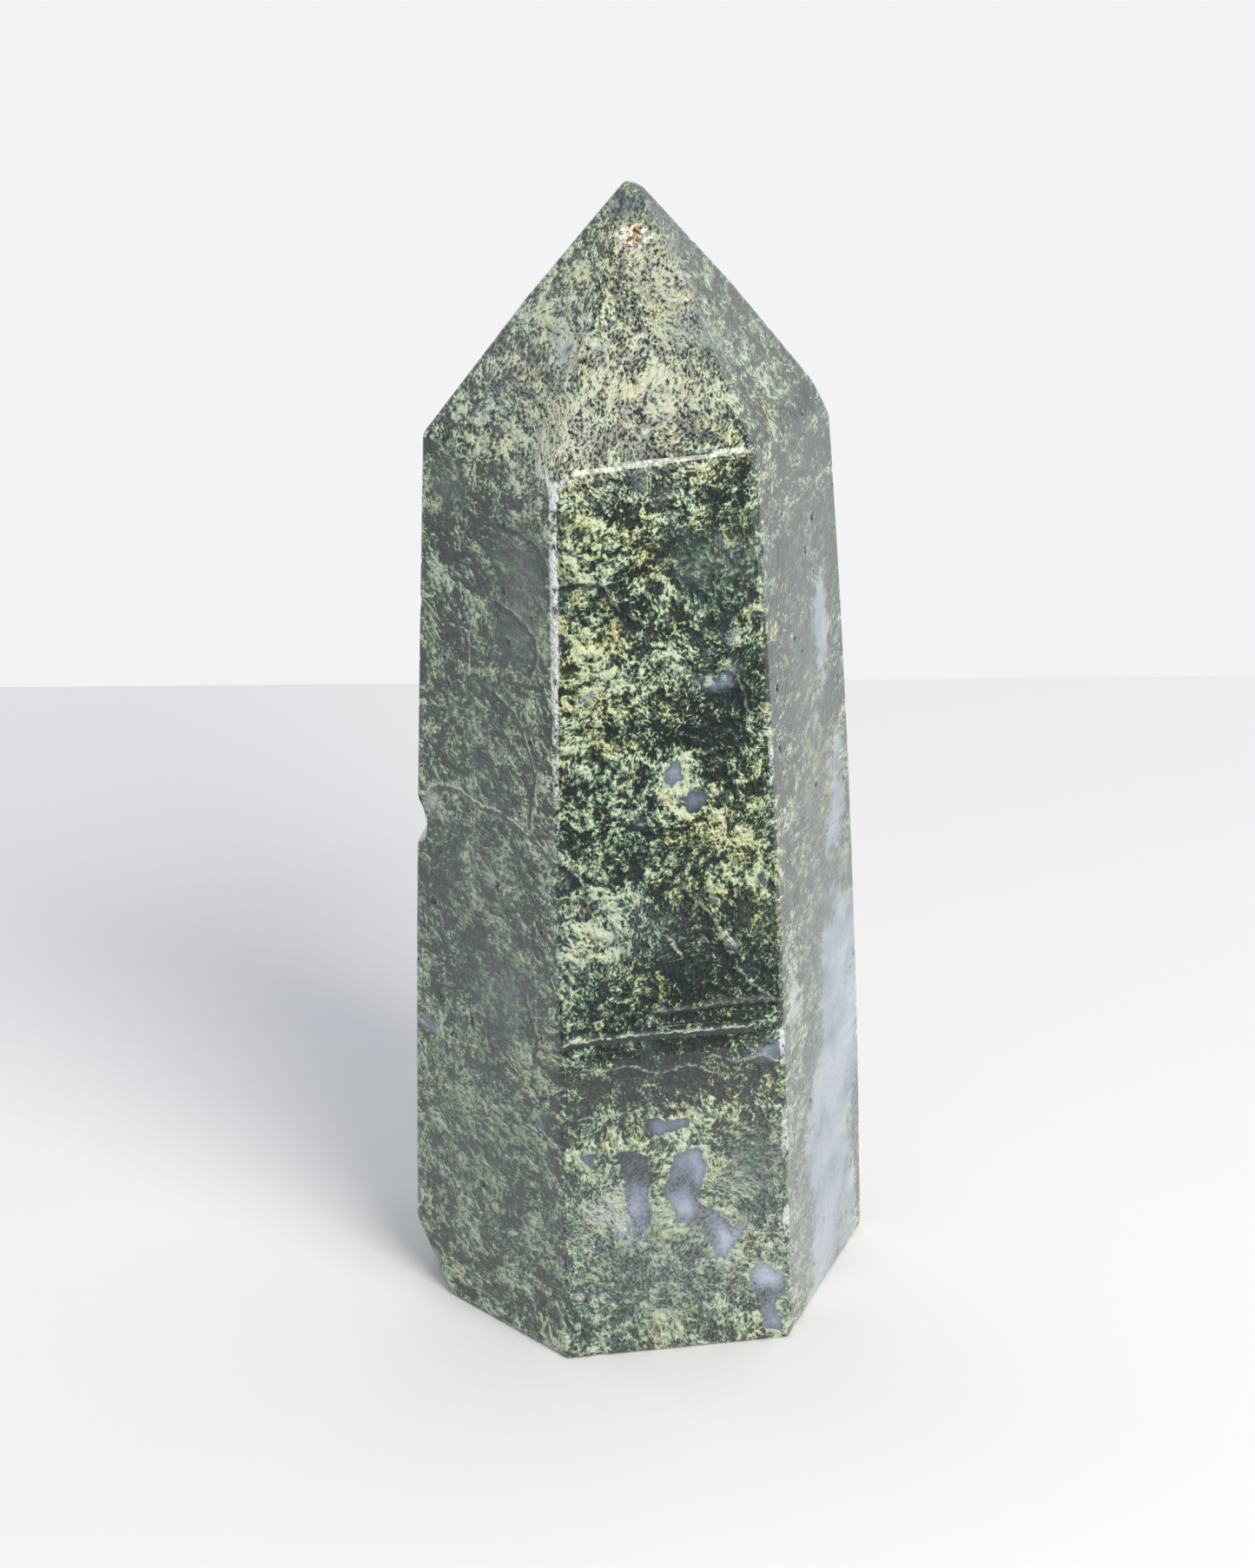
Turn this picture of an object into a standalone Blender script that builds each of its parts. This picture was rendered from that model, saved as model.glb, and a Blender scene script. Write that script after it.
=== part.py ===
"""A polished six-sided point of moss agate, standing on its flat sawn base.

It is one stone, ground from one piece of rock. Six long sides lean in towards the top and bow
out a little on the way, as hand-ground sides do. Six tip faces meet in a blunt point. Then come
the marks of use: a broken foot corner, two rubbed shoulders, and small chips and open pits.

The origin is on the base, under the middle of the stone, with +Z up to the point. The front,
the side with the most moss in it, faces -Y.
"""
import math
import random
from collections import namedtuple

import bmesh
import bpy
from mathutils import Matrix, Vector

# Sizes are in millimetres and angles in degrees. The finished mesh is turned into metres.
METRES_PER_MM = 0.001

APEX = Vector((0.0, 0.0, 80.0))  # where the tip's faces would meet if it weren't blunt
SHOULDER = 63.5                  # about where the long sides end and the tip begins
RING_STEP = 10.0                 # a side's bow is made of flat strips this tall
TIP_SWELL = 0.42                 # how far the tip's middle stands above a flat-sided tip

EDGE_WEAR = 0.2                  # rounding of the edges between faces
BASE_WEAR = 0.45                 # rounding around the base, which gets the most knocks
ROUNDING_STEPS = 2
SHARP = 15.0                     # edges that turn more than this are real edges

# Each long side: the way it faces, turning from the front towards +X; how far it stands from
# the axis at the base; how much it leans in; and how far it bows out halfway up.
Side = namedtuple("Side", "faces reach lean bow")
SIDES = (
    Side(faces=-47.7, reach=14.15, lean=1.2, bow=0.23),  # left
    Side(faces=10.0, reach=14.3, lean=1.9, bow=0.15),    # front
    Side(faces=70.2, reach=14.0, lean=2.6, bow=0.43),    # right
    Side(faces=131.5, reach=14.3, lean=1.7, bow=0.35),   # right back
    Side(faces=191.0, reach=14.15, lean=1.9, bow=0.25),  # back
    Side(faces=251.3, reach=14.1, lean=1.9, bow=0.15),   # left back
)
LEFT, FRONT, RIGHT, RIGHT_BACK, BACK, LEFT_BACK = range(6)

# The corner edge that each side starts with, seen from outside with the side on its right,
# and the height at which that corner turns into a ridge of the tip.
LEFT_CORNER, FRONT_LEFT_CORNER, FRONT_RIGHT_CORNER, RIGHT_CORNER = range(4)
CORNER_TOPS = (63.5, 63.5, 64.5, 63.2, 63.7, 63.7)

# A scoop is a small conchoidal chip or an open pit: a shallow hollow, given by the middle of
# its mouth, how wide and tall the mouth is, and how deep it goes.
Scoop = namedtuple("Scoop", "wide tall deep")


def outward(faces, rise=0.0):
    """The direction a face looks in, from its turn and how far it looks up."""
    turn, up = math.radians(faces), math.radians(rise)
    return Vector((math.sin(turn) * math.cos(up), -math.cos(turn) * math.cos(up), math.sin(up)))


def reach_at(side, height):
    """How far a side stands from the axis at a height."""
    along = height / SHOULDER
    return side.reach - height * math.tan(math.radians(side.lean)) + side.bow * 4 * along * (1 - along)


def side_corner(number, height):
    """The corner where a side meets the one before it, at a height: two lines crossed on plan."""
    before, after = SIDES[number - 1], SIDES[number]
    first, second = outward(before.faces), outward(after.faces)
    cross = first.x * second.y - first.y * second.x
    near, far = reach_at(before, height), reach_at(after, height)
    x = (near * second.y - far * first.y) / cross
    y = (far * first.x - near * second.x) / cross
    return Vector((x, y, height))


def shoulder_corner(number):
    """The top of a corner edge, on the straight run of the last strip."""
    last = RING_STEP * math.floor(SHOULDER / RING_STEP)
    low, high = side_corner(number, last), side_corner(number, last + RING_STEP)
    return low.lerp(high, (CORNER_TOPS[number] - last) / RING_STEP)


def ground_stone():
    """The stone as it came from the wheel: rings of corners joined by flat faces."""
    bm = bmesh.new()
    heights = [RING_STEP * step for step in range(math.floor(SHOULDER / RING_STEP) + 1)]
    rings = [[side_corner(number, height) for number in range(len(SIDES))] for height in heights]
    shoulders = [shoulder_corner(number) for number in range(len(SIDES))]
    swell = Vector((0, 0, TIP_SWELL))
    rings.append(shoulders)
    rings.append([corner.lerp(APEX, 0.5) + swell for corner in shoulders])
    rings = [[bm.verts.new(corner) for corner in ring] for ring in rings]
    apex = bm.verts.new(APEX)

    bm.faces.new(reversed(rings[0]))
    for number in range(len(SIDES)):
        following = (number + 1) % len(SIDES)
        for lower, upper in zip(rings, rings[1:]):
            bm.faces.new((lower[number], lower[following], upper[following], upper[number]))
        bm.faces.new((rings[-1][number], rings[-1][following], apex))
    bmesh.ops.recalc_face_normals(bm, faces=bm.faces)
    return bm


def break_off(bm, point, facing):
    """Takes away everything beyond a plane and closes the stone with the broken face."""
    everything = bm.verts[:] + bm.edges[:] + bm.faces[:]
    bmesh.ops.bisect_plane(bm, geom=everything, plane_co=point, plane_no=facing, clear_outer=True)
    open_edges = [edge for edge in bm.edges if edge.is_boundary]
    bmesh.ops.contextual_create(bm, geom=open_edges)
    bmesh.ops.recalc_face_normals(bm, faces=bm.faces)


def wear_corners(bm):
    """The point and the corners that a point like this loses first."""
    break_off(bm, APEX - Vector((0, 0, 0.72)), outward(75, rise=68))
    foot = side_corner(LEFT_CORNER, 0.0)
    foot_along_left = foot.lerp(side_corner(FRONT_LEFT_CORNER, 0.0), 0.25)
    foot_along_back = foot.lerp(side_corner(LEFT_BACK, 0.0), 0.28)
    foot_up = side_corner(LEFT_CORNER, 4.9)
    break_off(bm, foot_up, (foot_along_back - foot_up).cross(foot_along_left - foot_up).normalized())
    break_off(bm, shoulder_corner(FRONT_LEFT_CORNER) - outward(-15, rise=30) * 0.35,
              outward(-15, rise=30))
    break_off(bm, shoulder_corner(RIGHT_CORNER) - outward(98, rise=26) * 0.42, outward(98, rise=26))


def round_edges(bm):
    """The base's rim is rounded most, then every other real edge."""
    rim = [edge for edge in bm.edges if all(abs(vert.co.z) < EDGE_WEAR / 10 for vert in edge.verts)]
    bmesh.ops.bevel(bm, geom=rim, offset=BASE_WEAR, segments=ROUNDING_STEPS, profile=0.5,
                    affect="EDGES", clamp_overlap=True)
    rest = [edge for edge in bm.edges
            if edge.calc_face_angle(0) > math.radians(SHARP)
            and max(vert.co.z for vert in edge.verts) > BASE_WEAR * 1.5]
    bmesh.ops.bevel(bm, geom=rest, offset=EDGE_WEAR, segments=ROUNDING_STEPS, profile=0.5,
                    affect="EDGES", clamp_overlap=True)


def on_side(number, across, height):
    """A place on a long side, across from the side's own middle, and the way the side faces."""
    side = SIDES[number]
    facing = outward(side.faces)
    along = Vector((0, 0, 1)).cross(facing)
    left, right = side_corner(number, height), side_corner((number + 1) % len(SIDES), height)
    middle = (left + right) / 2
    return middle + along * across, outward(side.faces, rise=side.lean)


def on_corner(number, height):
    """A place on a corner edge, looking out between its two sides."""
    before, after = SIDES[number - 1].faces, SIDES[number].faces
    between = before + ((after - before) % 360) / 2
    return side_corner(number, height), outward(between)


def on_tip(number, across, height):
    """A place on a tip face, across from the line under the apex."""
    left, right = shoulder_corner(number), shoulder_corner((number + 1) % len(SIDES))
    along = (right - left).normalized()
    middle = (left + right) / 2
    facing = (right - left).cross(APEX - left).normalized()
    share = (height - middle.z) / (APEX.z - middle.z)
    swell = TIP_SWELL * (1 - abs(2 * share - 1))
    return middle.lerp(APEX, share) + along * across + Vector((0, 0, swell)), facing


def cut_with(stone, cutter):
    """Cuts a closed mesh out of the stone, and leaves nothing of the cutter behind."""
    cut = stone.modifiers.new(cutter.name, "BOOLEAN")
    cut.operation = "DIFFERENCE"
    cut.solver = "EXACT"
    cut.object = cutter
    evaluated = stone.evaluated_get(bpy.context.evaluated_depsgraph_get())
    mesh = bpy.data.meshes.new_from_object(evaluated)
    stone.modifiers.clear()
    stone.data = mesh
    bpy.data.objects.remove(cutter)


def new_object(name, bm):
    mesh = bpy.data.meshes.new(name)
    bm.to_mesh(mesh)
    bm.free()
    made = bpy.data.objects.new(name, mesh)
    bpy.context.scene.collection.objects.link(made)
    return made


def scoop_cutter(name, place, scoop, seed):
    """A lumpy ball whose inner part reaches through the surface as deep as the scoop goes."""
    at, facing = place
    deep_radius = scoop.deep * 1.5
    mouth_share = math.sqrt(1 - ((deep_radius - scoop.deep) / deep_radius) ** 2)
    radii = Vector((scoop.wide / 2 / mouth_share, scoop.tall / 2 / mouth_share, deep_radius))
    bm = bmesh.new()
    bmesh.ops.create_icosphere(bm, subdivisions=2, radius=1.0)
    lumps = random.Random(seed)
    for vert in bm.verts:
        vert.co *= lumps.uniform(0.9, 1.1)
        vert.co = Vector((vert.co.x * radii.x, vert.co.y * radii.y, vert.co.z * radii.z))
    sideways = Vector((0, 0, 1)).cross(facing).normalized()
    upward = facing.cross(sideways)
    turned = Matrix((sideways, upward, facing)).transposed().to_4x4()
    centre = at + facing * (deep_radius - scoop.deep)
    bmesh.ops.transform(bm, matrix=Matrix.Translation(centre) @ turned, verts=bm.verts)
    return new_object(name, bm)


def notch_cutter():
    """The one big chip: a block has broken out of the left corner edge, halfway up."""
    top, full_from, full_to, bottom, deep = 37.7, 36.1, 34.8, 33.9, 0.72
    reach_out, half_width = 2.0, 4.0
    edge = side_corner(LEFT_CORNER, (top + bottom) / 2)
    outline = (
        (edge.x - reach_out, top + 0.3),
        (side_corner(LEFT_CORNER, top).x, top),
        (edge.x + deep * 0.75, full_from + 0.5),
        (edge.x + deep, full_from - 0.2),
        (edge.x + deep * 0.95, full_to),
        (side_corner(LEFT_CORNER, bottom).x, bottom),
        (edge.x - reach_out, bottom - 0.3),
    )
    bm = bmesh.new()
    ends = [[bm.verts.new((x, edge.y + y, z)) for x, z in outline] for y in (-half_width, half_width)]
    bm.faces.new(ends[0])
    bm.faces.new(reversed(ends[1]))
    for index in range(len(outline)):
        after = (index + 1) % len(outline)
        bm.faces.new((ends[0][index], ends[1][index], ends[1][after], ends[0][after]))
    bmesh.ops.recalc_face_normals(bm, faces=bm.faces)
    return new_object("notch", bm)


def chip(stone):
    """Every chip and pit big enough to see from a step away."""
    cut_with(stone, notch_cutter())
    scoops = (
        (on_side(LEFT, -5.9, 37.4), Scoop(wide=2.3, tall=2.6, deep=0.24)),   # flake behind the notch
        (on_side(LEFT, 6.0, 3.3), Scoop(wide=0.9, tall=1.1, deep=0.4)),
        (on_side(LEFT, 5.5, 24.0), Scoop(wide=0.5, tall=0.8, deep=0.25)),
        (on_side(FRONT, -6.8, 4.8), Scoop(wide=1.2, tall=0.9, deep=0.3)),
        (on_side(FRONT, -7.0, 2.5), Scoop(wide=0.8, tall=0.9, deep=0.3)),
        (on_side(FRONT, -6.3, 9.1), Scoop(wide=0.35, tall=0.4, deep=0.2)),
        (on_side(FRONT, 0.1, 7.1), Scoop(wide=0.5, tall=0.45, deep=0.25)),
        (on_side(FRONT, -5.5, 0.1), Scoop(wide=1.0, tall=0.9, deep=0.35)),   # nick in the base's rim
        (on_corner(RIGHT_CORNER, 58.2), Scoop(wide=0.9, tall=0.65, deep=0.38)),
        (on_corner(FRONT_RIGHT_CORNER, 14.5), Scoop(wide=1.0, tall=1.2, deep=0.3)),
        (on_corner(FRONT_RIGHT_CORNER, 9.2), Scoop(wide=0.9, tall=1.3, deep=0.26)),
        (on_corner(FRONT_RIGHT_CORNER, 16.0), Scoop(wide=0.6, tall=0.5, deep=0.2)),
        (on_corner(BACK, 48.0), Scoop(wide=0.9, tall=1.3, deep=0.3)),
        (on_corner(LEFT_BACK, 21.0), Scoop(wide=0.8, tall=1.0, deep=0.28)),
        (on_tip(FRONT, -0.3, 76.3), Scoop(wide=1.7, tall=1.4, deep=0.5)),    # crystal-lined hollow
    )
    for seed, (place, scoop) in enumerate(scoops):
        cut_with(stone, scoop_cutter(f"scoop_{seed}", place, scoop, seed))


def moss_agate():
    """Grey-green stone with a glassy polish."""
    material = bpy.data.materials.new("polished moss agate")
    material.use_nodes = True
    principled = material.node_tree.nodes["Principled BSDF"]
    principled.inputs["Base Color"].default_value = (0.11, 0.15, 0.09, 1.0)
    principled.inputs["Roughness"].default_value = 0.12
    principled.inputs["Metallic"].default_value = 0.0
    principled.inputs["IOR"].default_value = 1.54
    return material


def stand_on_origin(stone):
    """Moves the mesh so that the middle of its base is the origin, and turns it into metres."""
    corners = [Vector(corner) for corner in stone.bound_box]
    low = Vector(min(corner[axis] for corner in corners) for axis in range(3))
    high = Vector(max(corner[axis] for corner in corners) for axis in range(3))
    middle = (low + high) / 2
    shift = Matrix.Translation((-middle.x, -middle.y, -low.z))
    stone.data.transform(Matrix.Scale(METRES_PER_MM, 4) @ shift)
    print("agate point, mm:", [round(size, 2) for size in high - low], "moved by",
          [round(part, 3) for part in shift.translation])


def main():
    for old in list(bpy.data.objects):
        bpy.data.objects.remove(old)
    bm = ground_stone()
    wear_corners(bm)
    round_edges(bm)
    stone = new_object("agate_point", bm)
    chip(stone)
    stone.data.materials.clear()
    stone.data.materials.append(moss_agate())
    stand_on_origin(stone)
    stone.data.shade_smooth()
    stone.data.set_sharp_from_angle(angle=math.radians(SHARP))


main()
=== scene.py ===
# %% [markdown]
# # A polished point of moss agate
# This notebook dresses one stone: a six-sided tower of moss agate with a faceted tip. The solid
# it starts from has the right size and shape and no finish. The steps below cut its surface fine
# enough to carry detail, chip and pit it, draw the agate that shows through the polish, and light
# it as a small product is lit. Lengths are metres in Blender, and MM turns millimetres into them.

# %% Load the solid stone
import math

import bmesh
import bpy
import numpy as np
from mathutils import Matrix, Vector, noise
from mathutils.bvhtree import BVHTree
from mathutils.kdtree import KDTree


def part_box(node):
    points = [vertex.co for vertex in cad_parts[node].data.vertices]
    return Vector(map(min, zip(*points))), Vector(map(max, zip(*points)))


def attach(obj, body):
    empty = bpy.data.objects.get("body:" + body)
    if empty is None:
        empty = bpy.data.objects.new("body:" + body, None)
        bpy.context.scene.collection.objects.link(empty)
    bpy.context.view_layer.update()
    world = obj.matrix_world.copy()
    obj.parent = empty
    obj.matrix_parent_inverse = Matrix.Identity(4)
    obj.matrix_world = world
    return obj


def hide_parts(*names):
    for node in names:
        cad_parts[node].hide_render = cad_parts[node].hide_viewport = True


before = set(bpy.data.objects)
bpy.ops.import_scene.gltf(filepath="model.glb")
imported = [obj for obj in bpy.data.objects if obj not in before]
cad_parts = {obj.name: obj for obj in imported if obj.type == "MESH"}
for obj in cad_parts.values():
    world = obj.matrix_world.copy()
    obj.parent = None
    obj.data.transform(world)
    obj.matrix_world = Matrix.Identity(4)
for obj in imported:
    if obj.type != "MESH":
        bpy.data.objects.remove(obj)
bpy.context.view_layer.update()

MM = 0.001
scene = bpy.context.scene
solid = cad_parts["agate_point"]
low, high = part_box("agate_point")
print("stone, mm:", [round(size / MM, 1) for size in high - low])

# %% [markdown]
# ## The camera
# The stone was seen from a little above through a long lens, which keeps its long edges almost
# parallel. A camera that is placed by its distance, the angle it looks down at and the point it
# aims at can be checked against a real tripod, so those are the values here.

# %% Camera
CAMERA_DISTANCE = 300 * MM
LOOKS_DOWN = math.radians(22.93)
TURNED = math.radians(0.13)
ROLLED = math.radians(0.57)
AIM = Vector((-0.7, -1.2, 37.2)) * MM
LENS, FILM_HEIGHT = 100.1, 36.0


def direction(turn, rise):
    """A unit vector, from its turn from the front (-Y) towards +X and how far it looks up."""
    return Vector((math.sin(turn) * math.cos(rise), -math.cos(turn) * math.cos(rise), math.sin(rise)))


camera_data = bpy.data.cameras.new("camera")
camera_data.lens = LENS
camera_data.sensor_width = FILM_HEIGHT
camera_data.clip_start = 10 * MM
camera = bpy.data.objects.new("camera", camera_data)
towards_camera = direction(TURNED, LOOKS_DOWN)
upright = (-towards_camera).to_track_quat("-Z", "Y").to_matrix()
camera.matrix_world = (Matrix.Translation(AIM + towards_camera * CAMERA_DISTANCE)
                       @ (upright @ Matrix.Rotation(-ROLLED, 3, "Z")).to_4x4())
scene.collection.objects.link(camera)
scene.camera = camera
print("camera, mm:", [round(part / MM, 1) for part in camera.matrix_world.translation])

# %% [markdown]
# ## One function for nodes
# A material or a Geometry Nodes tree is a list of nodes, each with a few settings and links. One
# function that adds a node keeps each step on a line. Inputs are given by name, or in order: a
# map range takes its value, the range it comes from and the range it goes to. Colours are written
# as the sRGB hex values a paint program shows, and Blender wants linear light, so one function
# turns them.

# %% Node and colour helpers
VECTOR, MATHS, RANGE = "ShaderNodeVectorMath", "ShaderNodeMath", "ShaderNodeMapRange"
NOISE, MIX, RAMP = "ShaderNodeTexNoise", "ShaderNodeMix", "ShaderNodeValToRGB"


def linear(hex_colour):
    """A colour like "5A6844" as linear RGBA."""
    rgb = [int(hex_colour[at:at + 2], 16) / 255 for at in (0, 2, 4)]
    return [part / 12.92 if part <= 0.04045 else ((part + 0.055) / 1.055) ** 2.4 for part in rgb] + [1.0]


def fill(tree, node, inputs):
    """Sets or links inputs, by name or in order. A node given stands for its first output in use."""
    for name, value in inputs.items() if isinstance(inputs, dict) else enumerate(inputs):
        if isinstance(value, bpy.types.Node):
            value = next(socket for socket in value.outputs if socket.enabled)
        if isinstance(value, bpy.types.NodeSocket):
            tree.links.new(value, node.inputs[name])
        else:
            node.inputs[name].default_value = value


def add(tree, kind, settings=None, inputs=()):
    """Adds one node. Settings of one word are its operation, and "stops" fills a colour ramp."""
    made = tree.nodes.new(kind)
    if isinstance(settings, str):
        settings = {"operation": settings}
    for name, value in (settings or {}).items():
        if name == "stops":
            ramp = made.color_ramp
            while len(ramp.elements) < len(value):
                ramp.elements.new(0.5)
            for element, (position, colour) in zip(ramp.elements, value):
                element.position = position
                element.color = linear(colour)
        else:
            setattr(made, name, value)
    fill(tree, made, inputs)
    return made


print("colours are linear, so mid grey 808080 is", round(linear("808080")[0], 3))

# %% [markdown]
# ## The studio
# The stone stands near the back edge of a wide, almost white table, and far behind that a white
# wall glows evenly. One large soft light stands to the front right, about 37 degrees up, and a
# bright bluish room fills the shadows. Polished stone is a mirror for a few percent of the light,
# so what surrounds it matters: a bright room gives the side faces their haze. In front, below the
# camera, the stone looks into a dark room, so the front face keeps deep blacks. A black card that
# only reflections see does that, as a flag does in a real studio.

# %% Table, wall and lights
def flat_panel(name, corners, hex_colour, glow=0.0):
    """A plain four-cornered panel with a matt paint, or a wall that glows evenly."""
    mesh = bpy.data.meshes.new(name)
    mesh.from_pydata([Vector(corner) * MM for corner in corners], [], [(0, 1, 2, 3)])
    paint = bpy.data.materials.new(name + " paint")
    paint.use_nodes = True
    fill(paint.node_tree, paint.node_tree.nodes["Principled BSDF"], {
        "Base Color": linear("000000" if glow else hex_colour), "Emission Color": linear(hex_colour),
        "Emission Strength": glow, "Roughness": 0.8, "Specular IOR Level": 0.0 if glow else 0.5})
    mesh.materials.append(paint)
    panel = bpy.data.objects.new(name, mesh)
    scene.collection.objects.link(panel)
    return panel


BACK, FRONT, HALF = 112, -2000, 2000  # the table, mm
flat_panel("floor", ((-HALF, FRONT, 0), (HALF, FRONT, 0), (HALF, BACK, 0), (-HALF, BACK, 0)), "FBFAF9")
AWAY, SIDE, LOW, HIGH = 1000, 4000, -1500, 3000  # the wall, mm
flat_panel("backdrop", ((-SIDE, AWAY, LOW), (SIDE, AWAY, LOW), (SIDE, AWAY, HIGH), (-SIDE, AWAY, HIGH)),
           "F2F3F5", glow=1.0)
FLAG_CORNERS = ((-140, -300, 1), (140, -300, 1), (60, -62, 1), (-60, -62, 1))  # mm, just off the table
flag = flat_panel("flag", FLAG_CORNERS, "0A0A0A")
flag.visible_camera = flag.visible_diffuse = flag.visible_shadow = False

KEY_TURN, KEY_RISE, KEY_DISTANCE = math.radians(32), math.radians(37), 600 * MM
KEY_SIZE, KEY_WATTS, ROOM_STRENGTH = 320 * MM, 3.0, 0.46
key_data = bpy.data.lights.new("key", "AREA")
key_data.size = KEY_SIZE
key_data.energy = KEY_WATTS
key_data.color = linear("FFFAF2")[:3]
key = bpy.data.objects.new("key", key_data)
towards_key = direction(KEY_TURN, KEY_RISE)
key.matrix_world = (Matrix.Translation(towards_key * KEY_DISTANCE)
                    @ (-towards_key).to_track_quat("-Z", "Y").to_matrix().to_4x4())
scene.collection.objects.link(key)

world = bpy.data.worlds.new("white room")
world.use_nodes = True
room = world.node_tree.nodes["Background"]
room.inputs["Color"].default_value = linear("DFE7FA")
room.inputs["Strength"].default_value = ROOM_STRENGTH
scene.world = world
scene.view_settings.view_transform = "Standard"
print("key light, mm:", [round(part / MM) for part in key.matrix_world.translation])

# %% [markdown]
# ## The faces
# The stone has six long sides and a tip face over each. Marks are easiest to place on a face by
# how far across it they are, from the stone's middle line, and how high. So each face gets a
# frame: the way it looks, the way across it, and how far out it stands. The turns are those that
# the stone was ground to, and the rest is measured on the solid.

# %% Find each face on the solid
SIDE_TURNS = {"left": -47.7, "front": 10.0, "right": 70.2,
              "right_back": 131.5, "back": 191.0, "left_back": 251.3}  # degrees from the front
SHOULDER_HEIGHT = 64 * MM
SMALLEST_FACE = MM ** 2


def merged_copy(source):
    """The solid's loose triangles joined into one skin, with flat areas as single faces."""
    bm = bmesh.new()
    bm.from_mesh(source.data)
    bmesh.ops.remove_doubles(bm, verts=bm.verts, dist=0.002 * MM)
    bmesh.ops.dissolve_limit(bm, angle_limit=math.radians(0.04), verts=bm.verts, edges=bm.edges)
    return bm


def find_face(bm, turn, on_tip):
    """The mean normal, way across and distance out of the faces that look one way."""
    ahead = direction(math.radians(turn), 0)
    normal, distance, area = Vector(), 0.0, 0.0
    for face in bm.faces:
        level = Vector((face.normal.x, face.normal.y, 0))
        size = face.calc_area()
        is_tip = face.calc_center_median().z > SHOULDER_HEIGHT
        if size < SMALLEST_FACE or is_tip != on_tip or level.length < 0.3 or level.angle(ahead) > 0.06:
            continue
        normal += face.normal * size
        distance += face.normal.dot(face.calc_center_median()) * size
        area += size
    across = Vector((0, 0, 1)).cross(ahead)
    return {"normal": np.array(normal.normalized()), "across": np.array(across), "out": distance / area}


stone_mesh = merged_copy(solid)
faces = {}
for name, turn in SIDE_TURNS.items():
    faces[name] = find_face(stone_mesh, turn, on_tip=False)
    faces["tip_" + name] = find_face(stone_mesh, turn, on_tip=True)
for name, face in faces.items():
    print(name, "stands out", round(face["out"] / MM, 2), "mm, looks up",
          round(math.degrees(math.asin(face["normal"][2])), 1), "degrees")

# %% [markdown]
# ## A finer skin
# The solid's faces are a few large polygons. Detail needs small ones, but a voxel remesh would
# round off the crisp edges that make a point look cut. Slicing keeps every edge where it is: level
# planes cut the whole skin, then upright planes cut each side on its own, like scoring a tile.

# %% Slice the skin
SLICE = 0.42 * MM


def slice_skin(bm):
    for height in np.arange(low.z + SLICE / 2, high.z, SLICE):
        everything = bm.verts[:] + bm.edges[:] + bm.faces[:]
        bmesh.ops.bisect_plane(bm, geom=everything, plane_co=(0, 0, height), plane_no=(0, 0, 1))
    reach = (high - low).length / 4
    for turn in SIDE_TURNS.values():
        ahead = direction(math.radians(turn), 0)
        across = Vector((0, 0, 1)).cross(ahead)
        chosen = [face for face in bm.faces if abs(face.normal.z) < 0.95
                  and Vector((face.normal.x, face.normal.y, 0)).angle(ahead, 9) < 0.2]
        part = list({item for face in chosen for item in (*face.verts, *face.edges)}) + chosen
        for offset in np.arange(-reach, reach, SLICE):
            part = bmesh.ops.bisect_plane(bm, geom=part, plane_co=across * offset, plane_no=across)["geom"]


hull_mesh = stone_mesh.copy()
slice_skin(stone_mesh)
print("sliced skin:", len(stone_mesh.verts), "points,", len(stone_mesh.faces), "faces")

# %% [markdown]
# ## The unchipped stone
# Whatever lies below the stone's convex hull is damage: a chip, a pit or the broken notch. The
# hull is worth keeping, because its distance tells the material where the stone is broken and
# rough, and its sharp edges are where a stone like this is rubbed white.

# %% Hull, edge lines and damage depth
HULL_EDGE_ANGLE = math.radians(12)
EDGE_SAMPLE = 0.1 * MM


def convex_shell(bm):
    made = bmesh.ops.convex_hull(bm, input=bm.verts)
    gone = [item for item in made["geom_interior"] + made["geom_unused"]
            if isinstance(item, bmesh.types.BMVert)]
    bmesh.ops.delete(bm, geom=gone, context="VERTS")
    outside = {item for item in made["geom"] if isinstance(item, bmesh.types.BMFace)}
    bmesh.ops.delete(bm, geom=[face for face in bm.faces if face not in outside], context="FACES")
    bmesh.ops.recalc_face_normals(bm, faces=bm.faces)


convex_shell(hull_mesh)
hull_tree = BVHTree.FromBMesh(hull_mesh)
edge_points = []
for edge in hull_mesh.edges:
    if len(edge.link_faces) == 2 and edge.calc_face_angle() > HULL_EDGE_ANGLE:
        start, end = (vert.co for vert in edge.verts)
        steps = max(2, int((end - start).length / EDGE_SAMPLE))
        edge_points += [start.lerp(end, step / steps) for step in range(steps + 1)]
edge_tree = KDTree(len(edge_points))
for number, point in enumerate(edge_points):
    edge_tree.insert(point, number)
edge_tree.balance()
print("edge line samples:", len(edge_points))

# %% [markdown]
# ## Marks on the faces
# Some marks make this stone itself: clear windows between the moss, healed cracks, a ledge where
# it began to split. Each is a short list of points on one face, in mm across from the stone's
# middle line and mm of height, as a restorer would note them down. Two functions turn such lists
# into distances for every point of the skin: to a closed outline, and to an open line.

# %% Measure points against marks
def face_places(points, name):
    """For each point: mm across a face, mm up its slope, and mm below its surface."""
    face = faces[name]
    steep = math.hypot(face["normal"][0], face["normal"][1])
    below = (face["out"] - points @ face["normal"]) / MM
    return points @ face["across"] / MM, points[:, 2] / steep / MM, below


def up_slope(name, marks):
    """Marks with their height changed to the distance up the face's slope."""
    steep = math.hypot(faces[name]["normal"][0], faces[name]["normal"][1])
    return [(across, height / steep) for across, height in marks]


def on_face(name, across, height):
    """The point of a face that is so many mm across it and so high."""
    face = faces[name]
    level = np.array([face["normal"][0], face["normal"][1], 0.0])
    steep = np.linalg.norm(level)
    out = (face["out"] / MM - face["normal"][2] * height) / steep
    return face["across"] * across + level / steep * out + np.array([0, 0, height])


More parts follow.
